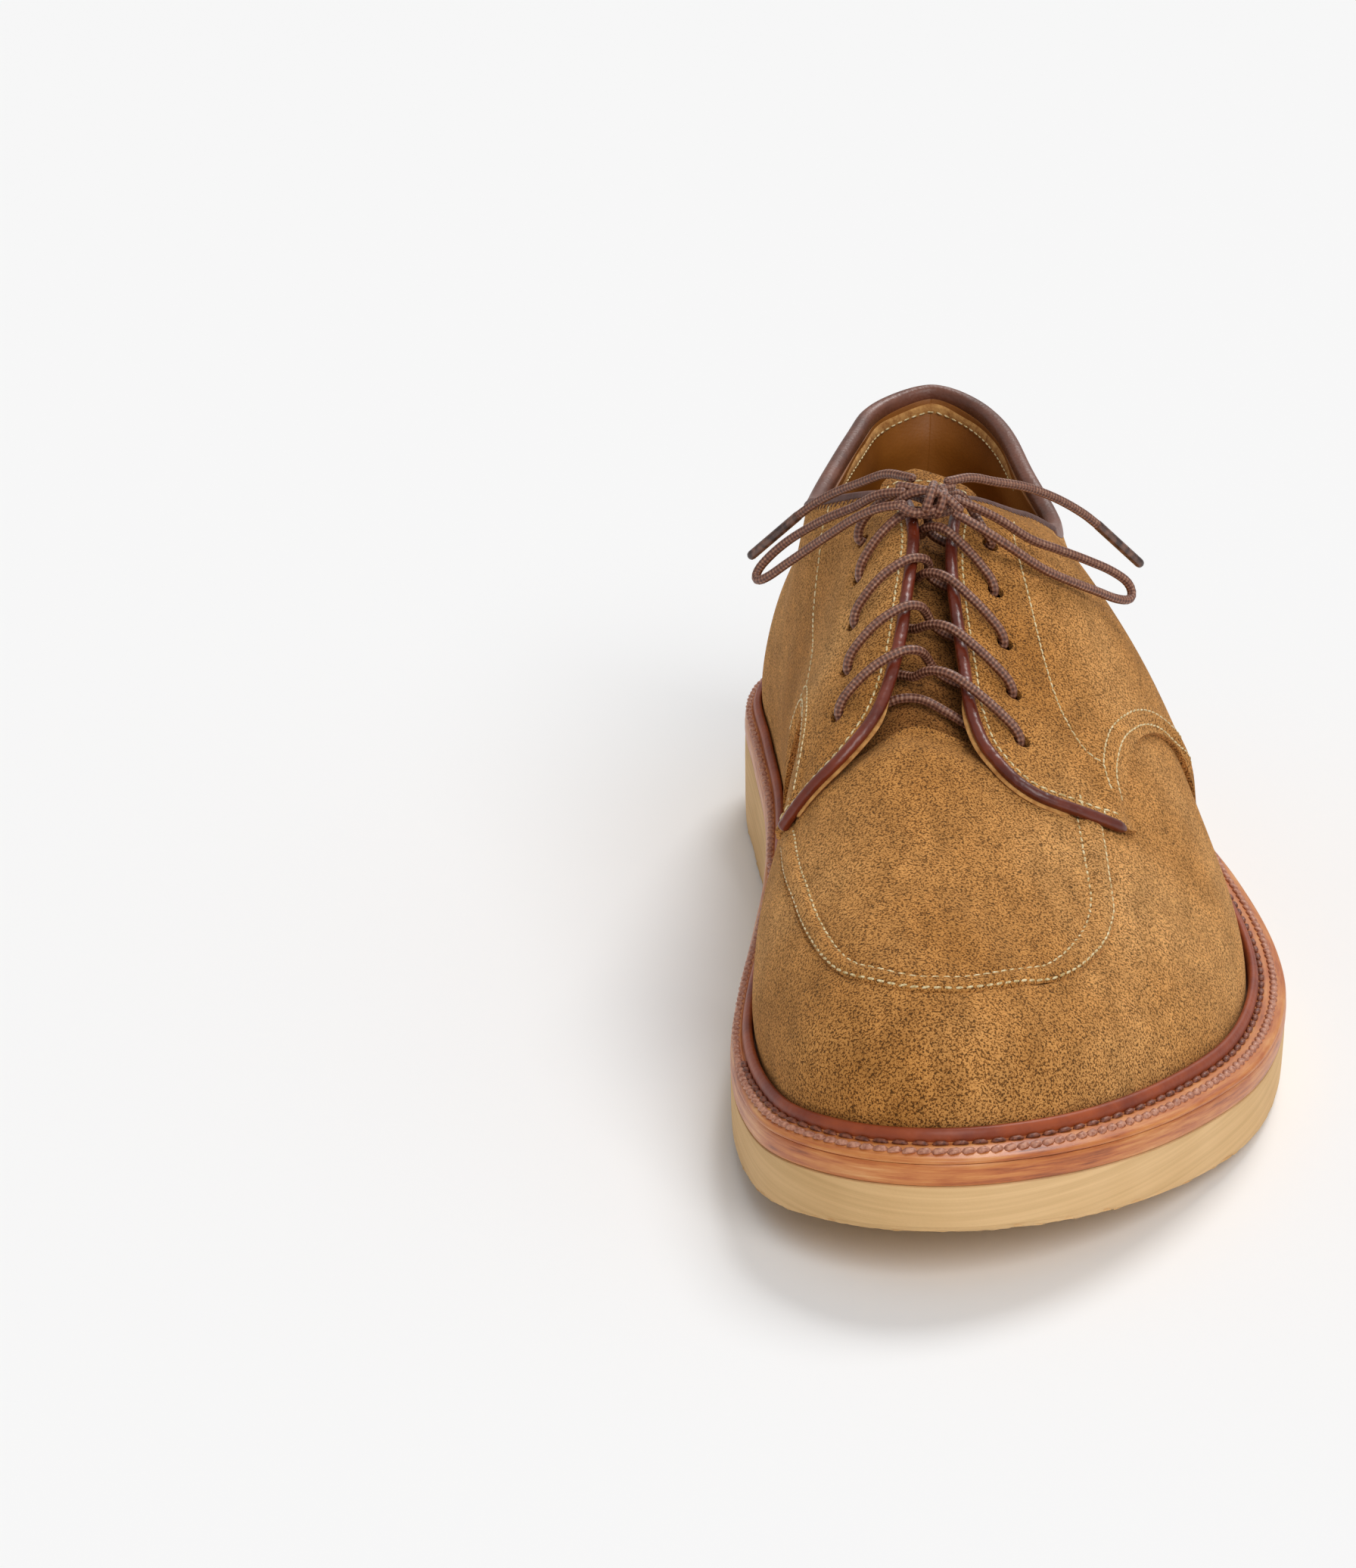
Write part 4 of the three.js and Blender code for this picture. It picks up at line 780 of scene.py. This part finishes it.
# The wedge: its side bows out a little, and the buffed tread edge is ragged
crumb = np.convolve(rng.normal(size=AROUND), [0.25, 0.5, 0.25], "same")
crumb = np.append(crumb, crumb[0])
tread = ground(ring_y)
side_height = ring_deck - tread
wedge_side = ring([
    (1.6, ring_deck - 0.05), (0.5, ring_deck - 0.05), (0.12, ring_deck - 0.3),
    (0.0, ring_deck - 1.0), (0.0, tread + side_height * 0.75), (0.08, tread + side_height * 0.5),
    (0.15, tread + side_height * 0.28), (0.25, tread + side_height * 0.14), (0.4, tread + 1.2),
    (0.5 + 0.14 * crumb, tread + 0.75), (0.62 - 0.22 * crumb, tread + 0.42 + 0.1 * crumb),
    (0.95 + 0.25 * crumb, tread + 0.14), (1.7, tread), (4.0, tread)])
wedge_floor = deck_plate(lambda u: 4.0 + 0 * u, lambda y, plan: ground(y), up=False)
wedge_top = deck_plate(lambda u: 1.6 + 0 * u, lambda y, plan: deck(y) - 0.05)
wedge = join([wedge_side, wedge_floor, wedge_top])
complete(wedge, "foam_wedge", foam, "foam", "outsole_wedge", angle=35)

midsole = ring([
    (6.0, ring_deck + 0.1), (0.6, ring_deck + 0.1), (0.2, ring_deck + 0.15), (0.0, ring_deck + 0.5),
    (-0.1, ring_deck + 1.6), (-0.12, ring_deck + 3.0), (-0.02, ring_deck + SEAT - 0.35),
    (0.22, ring_deck + SEAT - 0.02), (6.0, ring_deck + SEAT)])
complete(midsole, "midsole_edge", edge_leather, "midsole", "midsole", angle=45)

WELT_FOOT, WELT_TOP = SEAT + 0.05, SEAT + 2.3
quarter_share = 1 - ease(5.7, 6.1, ring_u) + ease(20.0, 20.4, ring_u)
ring_station = station(ring_u)
lip_inner = (ring_station[:, 9] - quarter_share * QUARTER_FACE - 0.25
             - ring_station[:, 5] * (WELT_TOP + 2 - UPPER_FOOT) / ring_station[:, 6])
LIP_WIDTH = 1.9
lip_outer = lip_inner - LIP_WIDTH


def welt_height(share):
    """The welt's top falls away towards its outer edge; share counts from the edge to the lip."""
    return ring_deck + WELT_TOP - 1.5 * (1 - share) ** 1.2


welt = ring([
    (lip_inner + 0.6, ring_deck + WELT_FOOT), (0.3, ring_deck + WELT_FOOT),
    (0.08, ring_deck + WELT_FOOT + 0.1),
    (0.0, ring_deck + WELT_FOOT + 0.35), (0.1, welt_height(0) - 0.15), (0.3, welt_height(0.05))]
    + [(lip_outer * k, welt_height(k)) for k in (0.16, 0.3, 0.45, 0.6, 0.72)]
    + [(lip_outer * 0.84, welt_height(0.84) - 0.1), (lip_outer * 0.92, welt_height(0.92) - 0.35),
       (lip_outer, welt_height(1) - 0.1)])
complete(welt, "welt_strip", edge_leather, "welt", angle=60)
lip = ring([
    (lip_outer + 0.1, ring_deck + WELT_TOP - 0.5), (lip_outer - 0.05, ring_deck + WELT_TOP + 0.5),
    (lip_outer + 0.15, ring_deck + WELT_TOP + 1.3), (lip_outer + 0.55, ring_deck + WELT_TOP + 1.9),
    (lip_outer + 1.05, ring_deck + WELT_TOP + 2.15), (lip_inner - 0.2, ring_deck + WELT_TOP + 2.05),
    (lip_inner + 0.1, ring_deck + WELT_TOP + 1.5), (lip_inner + 0.3, ring_deck + WELT_TOP - 0.5)])
complete(lip, "storm_lip", lip_leather, "welt", "storm_welt", angle=70)


# ---------------------------------------------------------------------------
# Stitching
# ---------------------------------------------------------------------------
def stitch_shape(length, width, height, sides=8, rings=5):
    """One stitch lying along X: a short thread whose ends dip into their holes."""
    bpy.ops.object.select_all(action="DESELECT")
    bpy.ops.mesh.primitive_uv_sphere_add(segments=sides, ring_count=rings, radius=1,
                                         rotation=(0, math.pi / 2, 0))
    piece = bpy.context.object
    bpy.ops.object.transform_apply(location=False, rotation=True, scale=False)
    points = np.array([v.co for v in piece.data.vertices])
    faces = [list(p.vertices) for p in piece.data.polygons]
    bpy.data.objects.remove(piece)
    full = np.abs(points[:, 0]) ** 0.7 * np.sign(points[:, 0])
    points = np.stack([full * length / 2, points[:, 1] * width / 2,
                       points[:, 2] * height / 2 - height * 0.35 * np.abs(full) ** 3], 1)
    return points, faces


def stitches(name, path, normals, pitch, length, width, height, material, slot,
             twist=0.0, sink=0.0, body=BODY, jitter=0.06):
    """A row of stitches along a path in millimetres, with the surface's outward normals."""
    run = path_length(path)
    count = max(int(round(run / pitch)), 2)
    measure = np.concatenate([[0], np.cumsum(np.linalg.norm(np.diff(path, axis=0), axis=1))])
    points, faces = stitch_shape(length, width, height)
    coords, cells = [], []
    for k in range(count):
        d = (k + 0.5) * run / count
        place = np.array([np.interp(d, measure, path[:, i]) for i in range(3)])
        ahead = np.array([np.interp(min(d + 0.4, run), measure, path[:, i]) for i in range(3)])
        behind = np.array([np.interp(max(d - 0.4, 0), measure, path[:, i]) for i in range(3)])
        normal = unit(np.array([np.interp(d, measure, normals[:, i]) for i in range(3)]))
        x = unit(ahead - behind)
        x = unit(x - normal * np.dot(x, normal))
        y = np.cross(normal, x)
        turn = twist + rng.normal() * jitter
        x, y = x * math.cos(turn) + y * math.sin(turn), y * math.cos(turn) - x * math.sin(turn)
        place = place + normal * (height * 0.2 - sink)
        coords.append(place + points @ np.stack([x, y, normal]))
        cells += [[i + k * len(points) for i in face] for face in faces]
    mesh = bpy.data.meshes.new(name)
    mesh.from_pydata(((np.concatenate(coords) + SHIFT) * MM).tolist(), [], cells)
    piece = bpy.data.objects.new(name, mesh)
    bpy.context.collection.objects.link(piece)
    finished(piece, name, body)
    choose(piece)
    bpy.ops.object.shade_smooth()
    dress(piece, material)
    return piece


def ring_path(inset, height):
    plan = inside(ring_u, inset)
    return np.concatenate([plan, np.asarray(height)[:, None]], 1)


level = np.tile([0.0, 0.0, 1.0], (AROUND + 1, 1))
lock_inset = np.maximum(lip_outer * 0.46, 0.75)
lean = unit(ring_path(0 * ring_u, ring_deck) - ring_path(0 * ring_u + 4, ring_deck) + level * 14)
lock = stitches("lockstitch_row", ring_path(lock_inset, welt_height(lock_inset / lip_outer)), lean, 2.7, 2.9,
                1.6, 1.0, lock_thread, "thread", twist=0.22)
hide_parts("welt_lockstitch")
wide = np.flatnonzero(lip_outer > 2.6)
groove = ring_path(lip_outer - 0.6, ring_deck + WELT_TOP - 0.1)
breaks = np.flatnonzero(np.diff(wide) > 1)
for number, part in enumerate(np.split(wide, breaks + 1)):
    if len(part) > 20:
        stitches(f"welt_seam_{number + 1}", groove[part], level[part], 3.7, 3.1, 1.3, 0.8,
                 groove_thread, "welt")


# ---------------------------------------------------------------------------
# Upper
# ---------------------------------------------------------------------------
def waves(u, v):
    """The slight unevenness that hand-lasted leather keeps."""
    return (0.22 * np.sin(1.7 * u + 5 * v) * np.sin(9 * v - 0.6 * u)
            + 0.12 * np.sin(4.3 * u - 11 * v + 1.0))


def leather_patch(u, v, height):
    height = np.broadcast_to(np.asarray(height, float), u.shape) + waves(u, v) * ease(0, 0.12, v)
    return grid(off_last(u, v, height), last_normal(u, v))


# The wall round the toe, drawn in under the apron and under the quarters
steps, rises = 300, 46
u = np.linspace(5.6, 20.4, steps)[:, None]
share = np.linspace(0, 1, rises)[None]
wall_top = np.interp(u, *WALL_TOP.T)
v = share * wall_top
u = np.broadcast_to(u, v.shape)
seam = np.interp(u, *SEAM.T)
in_reach = ease(7.6, 8.0, u) - ease(18.1, 18.5, u)
under_quarter = 1 - ease(7.9, 8.3, u) + ease(17.9, 18.3, u)
dip = -1.6 * in_reach * ease(seam - 0.004, seam + 0.02, v) - 0.1 * under_quarter
wall = leather_patch(u, v, dip)
leather_sheet(wall, SUEDE)
complete(wall, "toe_wall", suede, "suede", "vamp_wall")


def band_lift(u, v):
    """The apron's stitched edge stands up between its two rows of stitches."""
    d = (v - np.interp(u, *SEAM.T)) / 0.066
    hump = ease(0.05, 0.3, d) * (1 - ease(0.72, 1.0, d))
    groove_in = np.exp(-((d - 1.02) / 0.12) ** 2)
    return 0.8 * hump - 0.3 * groove_in - 0.35 * (1 - ease(0, 0.14, d))


def forefoot(back, foot, height, lift, steps, rises, ribs):
    """A skin over the forefoot: rows across the ridge, then ribs that fan round the toe."""
    front = STATIONS[13, 3] + 0.04
    m = np.linspace(ridge_station(back, True), ridge_station(front, True), steps)
    l = ridge_station(station(m)[:, 3], False)
    s = np.linspace(0, 1, rises) ** 0.9
    climb_u = np.repeat(m[:, None], rises, 1)
    climb_v = mix(foot(climb_u), 1, s[None])
    fall_u = np.repeat(l[:, None], rises - 1, 1)
    fall_v = mix(1, foot(fall_u), 1 - s[::-1][None, 1:])
    u, v = np.concatenate([climb_u, fall_u], 1), np.concatenate([climb_v, fall_v], 1)
    body = grid(off_last(u, v, height + lift(u, v)), last_normal(u, v))
    rib_u = np.repeat(np.linspace(m[-1], l[-1], ribs)[:, None], rises, 1)
    rib_v = mix(foot(rib_u), 1, s[None])
    places = off_last(rib_u, rib_v, height + lift(rib_u, rib_v))
    places[:, -1] = off_last(m[-1], 1.0, height + lift(m[-1], np.array(1.0)))
    toe = grid(places, last_normal(rib_u, rib_v))
    whole = join([body, toe])
    in_edit_mode(whole, (bpy.ops.mesh.remove_doubles, {"threshold": 6e-5}))
    return whole


def apron_lift(u, v):
    """Banded edge, hand-lasted waves, and a back end that sinks to the root of the tongue."""
    sink = 3.5 * ease(-54, -43, last_point(u, v)[..., 1]) * ease(0.5, 0.75, v)
    return band_lift(u, v) + waves(u, v) * (1 - ease(0.9, 1, v)) - sink


apron = forefoot(-42, lambda u: np.interp(u, *SEAM.T), 0.0, apron_lift, 90, 56, 90)
leather_sheet(apron, 1.1)
complete(apron, "apron_plug", suede, "suede", "apron")

forefoot_lining = forefoot(-44, lambda u: 0.01 + 0 * u, LINING_DEPTH, lambda u, v: 0 * v, 30, 18, 30)
leather_sheet(forefoot_lining, 1.0)
complete(forefoot_lining, "forefoot_lining", lining_leather, "lining", "vamp_lining")


def quarter_field(pairs, steps, rises):
    rows = along_rows(pairs, np.linspace(0, len(pairs) - 1, steps))
    s = np.linspace(0, 1, rises)[None]
    foot = np.clip(rows[:, 1:2], 0, 1)
    head = np.clip(rows[:, 3:4], 0, 1)
    return mix(rows[:, 0:1], rows[:, 2:3], s), mix(foot, head, s)


def pinch(u, v, side):
    """The leather draws down a little round each laced eyelet."""
    here = last_point(u, v)
    drop = 0
    for eyelet in EYELETS[side]:
        drop = drop - 0.45 * np.exp(-np.sum((here - last_point(*eyelet)) ** 2, -1) / 14.0)
    return drop


def quarter(side, pairs):
    u, v = quarter_field(pairs, 230, 64)
    d = (v - v[:, :1]) / 0.085
    wing = (0.5 * ease(0.2, 0.5, d) * (1 - ease(0.7, 1, d)) - 0.75 * (1 - ease(0, 0.4, d))) \
        * ease(0.1, 0.3, v[:, :1])
    piece = leather_patch(u, v, QUARTER_FACE + pinch(u, v, side) + wing)
    leather_sheet(piece, SUEDE, 0.3)
    bpy.ops.object.select_all(action="DESELECT")
    punches = []
    for u0, v0 in EYELETS[side]:
        centre = (last_point(u0, v0) + SHIFT) * MM
        turn = Vector(last_normal(u0, v0)).to_track_quat("Z", "Y").to_euler()
        bpy.ops.mesh.primitive_cylinder_add(vertices=28, radius=EYELET_RADIUS * MM, depth=0.012,
                                            location=centre, rotation=turn)
        punches.append(bpy.context.object)
    punch = join(punches)
    modify(piece, "BOOLEAN", operation="DIFFERENCE", object=punch, solver="EXACT")
    bpy.data.objects.remove(punch)
    return complete(piece, f"{side}_quarter_panel", suede, "suede",
                    f"{side}_quarter", f"{side}_facing_stay", angle=40)


quarters = {side: quarter(side, pairs) for side, pairs in QUARTERS.items()}


# Edges of the quarters: places, outward normals and the direction off the edge
def quarter_edge(side, first, last, count):
    foot_u, foot_v, u, v = along_rows(QUARTERS[side], np.linspace(first, last, count)).T
    v = np.clip(v, 0, 1)
    base = last_point(u, v)
    normal = last_normal(u, v)
    along = np.gradient(base, axis=0)
    off = unit(np.cross(along, normal))
    inward = last_point(mix(u, foot_u, 0.1), mix(v, foot_v, 0.1)) - base
    off *= -np.sign(np.einsum("ij,ij->i", off, inward))[:, None]
    return base + normal * QUARTER_FACE, normal, off


def edging(name, side_edges, section, material, slot, *nodes):
    """A folded strip: section gives (height, distance off the edge) pairs round its fold."""
    place, normal, off = side_edges
    section = np.array(section, float)
    middle = section.mean(0)
    size = np.ones(len(place))
    size[:4], size[-4:] = [0.02, 0.6, 0.85, 1], [1, 0.85, 0.6, 0.02]
    section = middle + (section[None] - middle) * size[:, None, None]
    places = place[:, None] + normal[:, None] * section[..., :1] + off[:, None] * section[..., 1:]
    centre = place + normal * middle[0] + off * middle[1]
    complete(grid(places, places - centre[:, None]), name, material, slot, *nodes, angle=60)


def oval(height, off, half_height, half_width, sides=18):
    a = np.linspace(0, 2 * math.pi, sides + 1)
    return np.stack([height + half_height * np.sin(a), off + half_width * np.cos(a)], 1)


for side in QUARTERS:
    last = len(QUARTERS[side]) - 1
    facing = quarter_edge(side, FACING_ROW - 0.85, last, 150)
    edging(f"{side}_facing_bead", facing, oval(-0.45, -0.15, 1.25, 1.35), binding_leather, "binding",
           f"{side}_facing_binding")
    under = quarter_edge(side, FACING_ROW + 2.9, last - 0.6, 90)
    draw_in = 2.2 * (1 - ease(0, 0.4, np.linspace(0, 1, 90)))[:, None]
    under = under[0] - under[2] * draw_in, under[1], under[2]
    edging(f"{side}_facing_raw_edge", under,
           [(-1.85, -3), (-1.85, 1.5), (-1.55, 1.75), (-1.2, 1.5), (-1.15, -3), (-1.85, -3)],
           raw_leather, "lining")
    ear = quarter_edge(side, TOP_CORNER_ROW + 0.3, FACING_ROW - 0.7, 90)
    edging(f"{side}_ear_piping", ear, oval(-0.4, -0.1, 1.15, 0.95), ear_leather, "binding",
           f"{side}_top_piping")

TOPLINE_SECTION = [
    (0.28, -3.2), (0.42, -2.6), (0.5, -1.4), (0.5, 0.0), (0.3, 1.1), (-0.3, 1.9), (-1.2, 2.25), (-2.2, 2.15),
    (-3.0, 1.6), (-3.4, 0.6), (-3.5, -0.8), (-3.4, -2.4), (-3.0, -2.9), (-1.2, -3.0), (0.28, -3.2)]
TOPLINE_NARROWING = 0.74
medial_top = quarter_edge("medial", 0.0, TOP_CORNER_ROW + 0.45, 150)
lateral_top = quarter_edge("lateral", 0.0, TOP_CORNER_ROW + 0.45, 150)
topline = [np.concatenate([a[::-1], b[1:]]) for a, b in zip(medial_top, lateral_top)]
topline = [evened(rows, 20) for rows in topline]
topline[1], topline[2] = unit(topline[1]), unit(topline[2])
edging("topline_roll", topline, [(height, off * TOPLINE_NARROWING) for height, off in TOPLINE_SECTION],
       topline_leather, "binding", "topline_binding")


# Linings
def quarter_lining(side, start, end, front_top):
    u = np.linspace(start, end, 110)[:, None]
    s = np.linspace(0, 1, 40)[None]
    top = mix(0.935, front_top, ease(0.7, 1, np.linspace(0, 1, 110)))[:, None]
    v = mix(0.01, top, s)
    u = np.broadcast_to(u, v.shape)
    height = LINING_DEPTH + 2.5 * ease(0.78, 0.93, v) + 0.2 * np.sin(2.3 * u) * np.sin(5 * v)
    piece = grid(off_last(u, v, height), last_normal(u, v))
    leather_sheet(piece, 0.9)
    complete(piece, f"{side}_lining_panel", lining_leather, "lining", f"{side}_quarter_lining")


quarter_lining("medial", 0.0, 6.3, 0.5)
quarter_lining("lateral", 26.0, 19.9, 0.66)

# The inner edge of the topline: a raw strip with its stitches, just under the binding
edging("topline_facing", topline,
       [(-2.7, -2.2), (-3.6, -2.6), (-4.1, -3.4), (-4.2, -4.6), (-3.9, -5.6), (-3.3, -5.8), (-2.9, -4.6),
        (-2.5, -2.6), (-2.7, -2.2)], raw_leather, "lining")
place, normal, off = topline
stitches("topline_inner_row", place - normal * 4.2 - off * 4.6, -normal, 2.2, 1.7, 0.45, 0.4,
         cream_thread, "thread")

sock = deck_plate(lambda u: station(u)[..., 9] + 5.2,
                  lambda y, plan: deck(y) + SEAT + 6.9 + 0.4 * np.cos(plan[..., 0] / 20))
leather_sheet(sock, 1.0)
complete(sock, "sock_insert", lining_leather, "lining", "sock_liner")

# Strip down the back, over the seam that joins the quarters
u = np.linspace(-0.37, 0.37, 26)[:, None]
v = np.linspace(0.1, TOPLINE - 0.005, 70)[None]
u, v = np.broadcast_arrays(u, v)
back_strip = grid(off_last(u, v, QUARTER_FACE + 1.1 + 0 * u), last_normal(u, v))
leather_sheet(back_strip, 1.0, 0.35)
complete(back_strip, "back_seam_strip", suede, "suede", "heel_strip")


# Tongue: on the last as far as the ridge reaches, then a tip that stands free behind the bow
TONGUE_TIP, TONGUE_TIP_RISE = 30, 6.6
ridge_y = np.linspace(-43, 16, 60)
tongue_m, tongue_l = ridge_station(ridge_y, True), ridge_station(ridge_y, False)
half = 24
share = np.linspace(0, 1, half + 1)[None]
climb = mix(mix(0.6, 0.66, ease(8, 6, tongue_m))[:, None], 1, share)
drop = mix(mix(0.74, 0.8, ease(18, 20, tongue_l))[:, None], 1, share)[:, ::-1][:, 1:]
tongue_u = np.concatenate([np.repeat(tongue_m[:, None], half + 1, 1),
                           np.repeat(tongue_l[:, None], half, 1)], 1)
tongue_v = np.concatenate([climb, drop], 1)
tongue_places, tongue_normals = last_point(tongue_u, tongue_v), last_normal(tongue_u, tongue_v)
end_row, end_normal = tongue_places[-1], tongue_normals[-1]
middle = end_row[half]
reach_x = end_row[:, 0] - middle[0]
across = reach_x / np.abs(reach_x).max()
extra, extra_normals = [], []
for s in np.linspace(0, 1, 27)[1:]:
    narrow = 1 - 0.22 * ease(0, 0.6, s)
    if s > 0.7:
        narrow *= (1 - ((s - 0.7) / 0.315) ** 2.5) ** 0.4
    arch = np.stack([reach_x, -4 * across ** 2, -11 * across ** 2], 1)
    aside = mix(end_row - middle, arch, ease(0, 0.4, s)) * [narrow, narrow, 1 - 0.85 * s ** 1.2]
    extra.append(middle + aside + [0, TONGUE_TIP * s, TONGUE_TIP_RISE * s])
    upright = end_normal * [0.6, 0, 0] + [0, -0.2, 1]
    extra_normals.append(unit(mix(end_normal, upright, s)))
tongue_places = np.concatenate([tongue_places, extra])
tongue_normals = np.concatenate([tongue_normals, extra_normals])
tongue_face = tongue_places + tongue_normals * TONGUE_DEPTH
for r in range(len(ridge_y), len(tongue_face)):
    tongue_face[r] = evened(tongue_face[r], 5)
tongue = grid(tongue_face, tongue_normals)
leather_sheet(tongue, 1.8, 0.5)
complete(tongue, "tongue_flap", tongue_suede, "suede", "tongue", body="tongue")
columns = tongue_face.shape[1]
rim_first, rim_top = len(ridge_y) + 2, len(tongue_face) - 6
rim = [(r, 4) for r in range(rim_first, rim_top)] + [(rim_top, c) for c in range(6, columns - 6)]
rim += [(r, columns - 5) for r in range(rim_top - 1, rim_first - 1, -1)]
rim_rows, rim_columns = np.array(rim).T
stitches("tongue_edge_row", tongue_face[rim_rows, rim_columns], tongue_normals[rim_rows, rim_columns],
         2.6, 1.9, 0.45, 0.4, cream_thread, "thread", body="tongue")


# Seams of the upper
def surface_of(*sheets):
    """A search tree over pieces, in the row frame."""
    points, faces = [], []
    for sheet in sheets:
        start = len(points)
        points += [v.co.copy() for v in sheet.data.vertices]
        faces += [[start + i for i in p.vertices] for p in sheet.data.polygons]
    return BVHTree.FromPolygons(points, faces)


def laid_on(tree, path, outward):
    """Drops a path on to a surface from just above it; both in millimetres."""
    landed, lean = [], []
    for point, direction in zip(path, outward):
        start = Vector((point + direction * 3 + SHIFT) * MM)
        hit, normal, _, _ = tree.ray_cast(start, Vector(-direction), 0.009)
        if hit is None:
            hit, normal = Vector((point + SHIFT) * MM), Vector(direction)
        if normal.dot(Vector(direction)) < 0:
            normal = -normal
        landed.append(np.array(hit) / MM - SHIFT)
        lean.append(np.array(normal))
    lean = np.array(lean)
    lean = np.stack([np.convolve(np.pad(lean[:, k], 2, "edge"), np.ones(5) / 5, "valid")
                     for k in range(3)], 1)
    return np.array(landed), unit(lean)


suede_tree = surface_of(quarters["medial"], quarters["lateral"], apron, wall, back_strip)


def seam(name, uv, pitch=2.1, width=0.5, height=1.0, **more):
    uv = np.array(uv, float)
    path = smooth_path(np.column_stack([uv[:, 0] * 10, uv[:, 1] * 100, 0 * uv[:, 0]]), 260)
    u, v = path[:, 0] / 10, path[:, 1] / 100
    landed, lean = laid_on(suede_tree, off_last(u, v, height), last_normal(u, v))
    landed = even_path(landed, 320)
    lean = unit(np.stack([np.interp(np.linspace(0, 1, 320), np.linspace(0, 1, len(lean)), lean[:, k])
                          for k in range(3)], 1))
    stitches(name, landed, lean, pitch, 1.75, width, width * 0.8, cream_thread, "thread", twist=0.08, **more)


def beside(name, edges, distance, pitch=2.1, length=1.75, width=0.5, material=cream_thread, twist=0.08):
    place, normal, off = edges
    landed, lean = laid_on(suede_tree, place - off * distance, normal)
    stitches(name, landed, lean, pitch, length, width, width * 0.8, material, "thread", twist=twist)


seam_u = np.linspace(8.15, 18.0, 60)
for row, gap in enumerate((0.012, 0.066)):
    seam(f"apron_stitch_row_{row + 1}", np.column_stack([seam_u, np.interp(seam_u, *SEAM.T) + gap]),
         sink=0.08, jitter=0.12)
seam("medial_stay_row", [(5.16, 0.93), (5.24, 0.76), (5.68, 0.50), (6.52, 0.41), (6.56, 0.36)])
seam("lateral_stay_row", [(20.36, 0.86), (19.68, 0.79), (19.20, 0.75), (18.84, 0.71), (18.60, 0.66),
                          (18.56, 0.62)], pitch=1.9, width=0.42)
for number, gap in ((2, 0), (1, 0.03)):
    seam(f"lateral_wing_row_{number}",
         [(18.3, 0.565 + gap), (18.56, 0.585 + gap), (18.96, 0.575 + gap), (19.3, 0.53 + gap),
          (19.6, 0.46 + gap), (19.85, 0.37 + gap), (20.1, 0.28 + gap)], pitch=1.9, width=0.42)
    seam(f"medial_wing_row_{number}",
         [(7.9, 0.46 + gap), (7.3, 0.485 + gap), (6.8, 0.46 + gap), (6.4, 0.4 + gap), (6.1, 0.3 + gap)],
         pitch=1.9, width=0.42)
for side in QUARTERS:
    last = len(QUARTERS[side]) - 1
    beside(f"{side}_facing_row", quarter_edge(side, FACING_ROW - 0.5, last - 0.15, 220), 2.5)
    beside(f"{side}_ear_row", quarter_edge(side, TOP_CORNER_ROW + 0.6, FACING_ROW - 1, 160), 1.5, pitch=1.7,
           length=1.3, width=0.4, material=brown_thread, twist=1.3)
for number, offset in ((1, -0.3), (2, 0.3)):
    seam(f"back_strip_row_{number}", [(offset, 0.14), (offset, 0.5), (offset, 0.9)], pitch=2.0,
         width=0.42, height=2.6)

# Carried over as they are: what the shoe hides under its skins
for name, material, kind in (
        ("cork_filler", cork, "cork"), ("shank", shank_steel, "aglet"), ("insole_board", board, "board"),
        ("toe_puff", board, "board"), ("heel_counter", board, "board")):
    dress(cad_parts[name], material)


# ---------------------------------------------------------------------------
# Studio
# ---------------------------------------------------------------------------
bpy.ops.object.select_all(action="DESELECT")
bpy.ops.mesh.primitive_plane_add(size=14, location=(0, 0, -0.0002))
floor = bpy.context.object
floor.name = "studio_floor"
paper, _ = new_material("studio_paper", Base_Color=tone("#f7f7f7"), Roughness=0.95,
                        Specular_IOR_Level=0.1)
floor.data.materials.append(paper)
floor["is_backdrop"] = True

world = bpy.data.worlds.new("studio")
bpy.context.scene.world = world
world.use_nodes = True
world.node_tree.nodes["Background"].inputs["Color"].default_value = tone("#f7f7f7")
world.node_tree.nodes["Background"].inputs["Strength"].default_value = 0.43


def softbox(name, toward, energy, spread):
    """A large soft source far away, so that the paper is lit evenly."""
    bpy.ops.object.select_all(action="DESELECT")
    bpy.ops.object.light_add(type="SUN", location=Vector(toward) * 2)
    lamp = bpy.context.object
    lamp.name = name
    lamp.data.energy = energy
    lamp.data.angle = math.radians(spread)
    lamp.rotation_euler = Vector(toward).to_track_quat("Z", "Y").to_euler()


softbox("key_softbox", (0.34, 0.75, 1.05), 1.3, 22)
softbox("front_fill", (0.4, -0.95, 0.95), 1.3, 40)

bpy.context.scene.view_settings.view_transform = "Standard"

low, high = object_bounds()
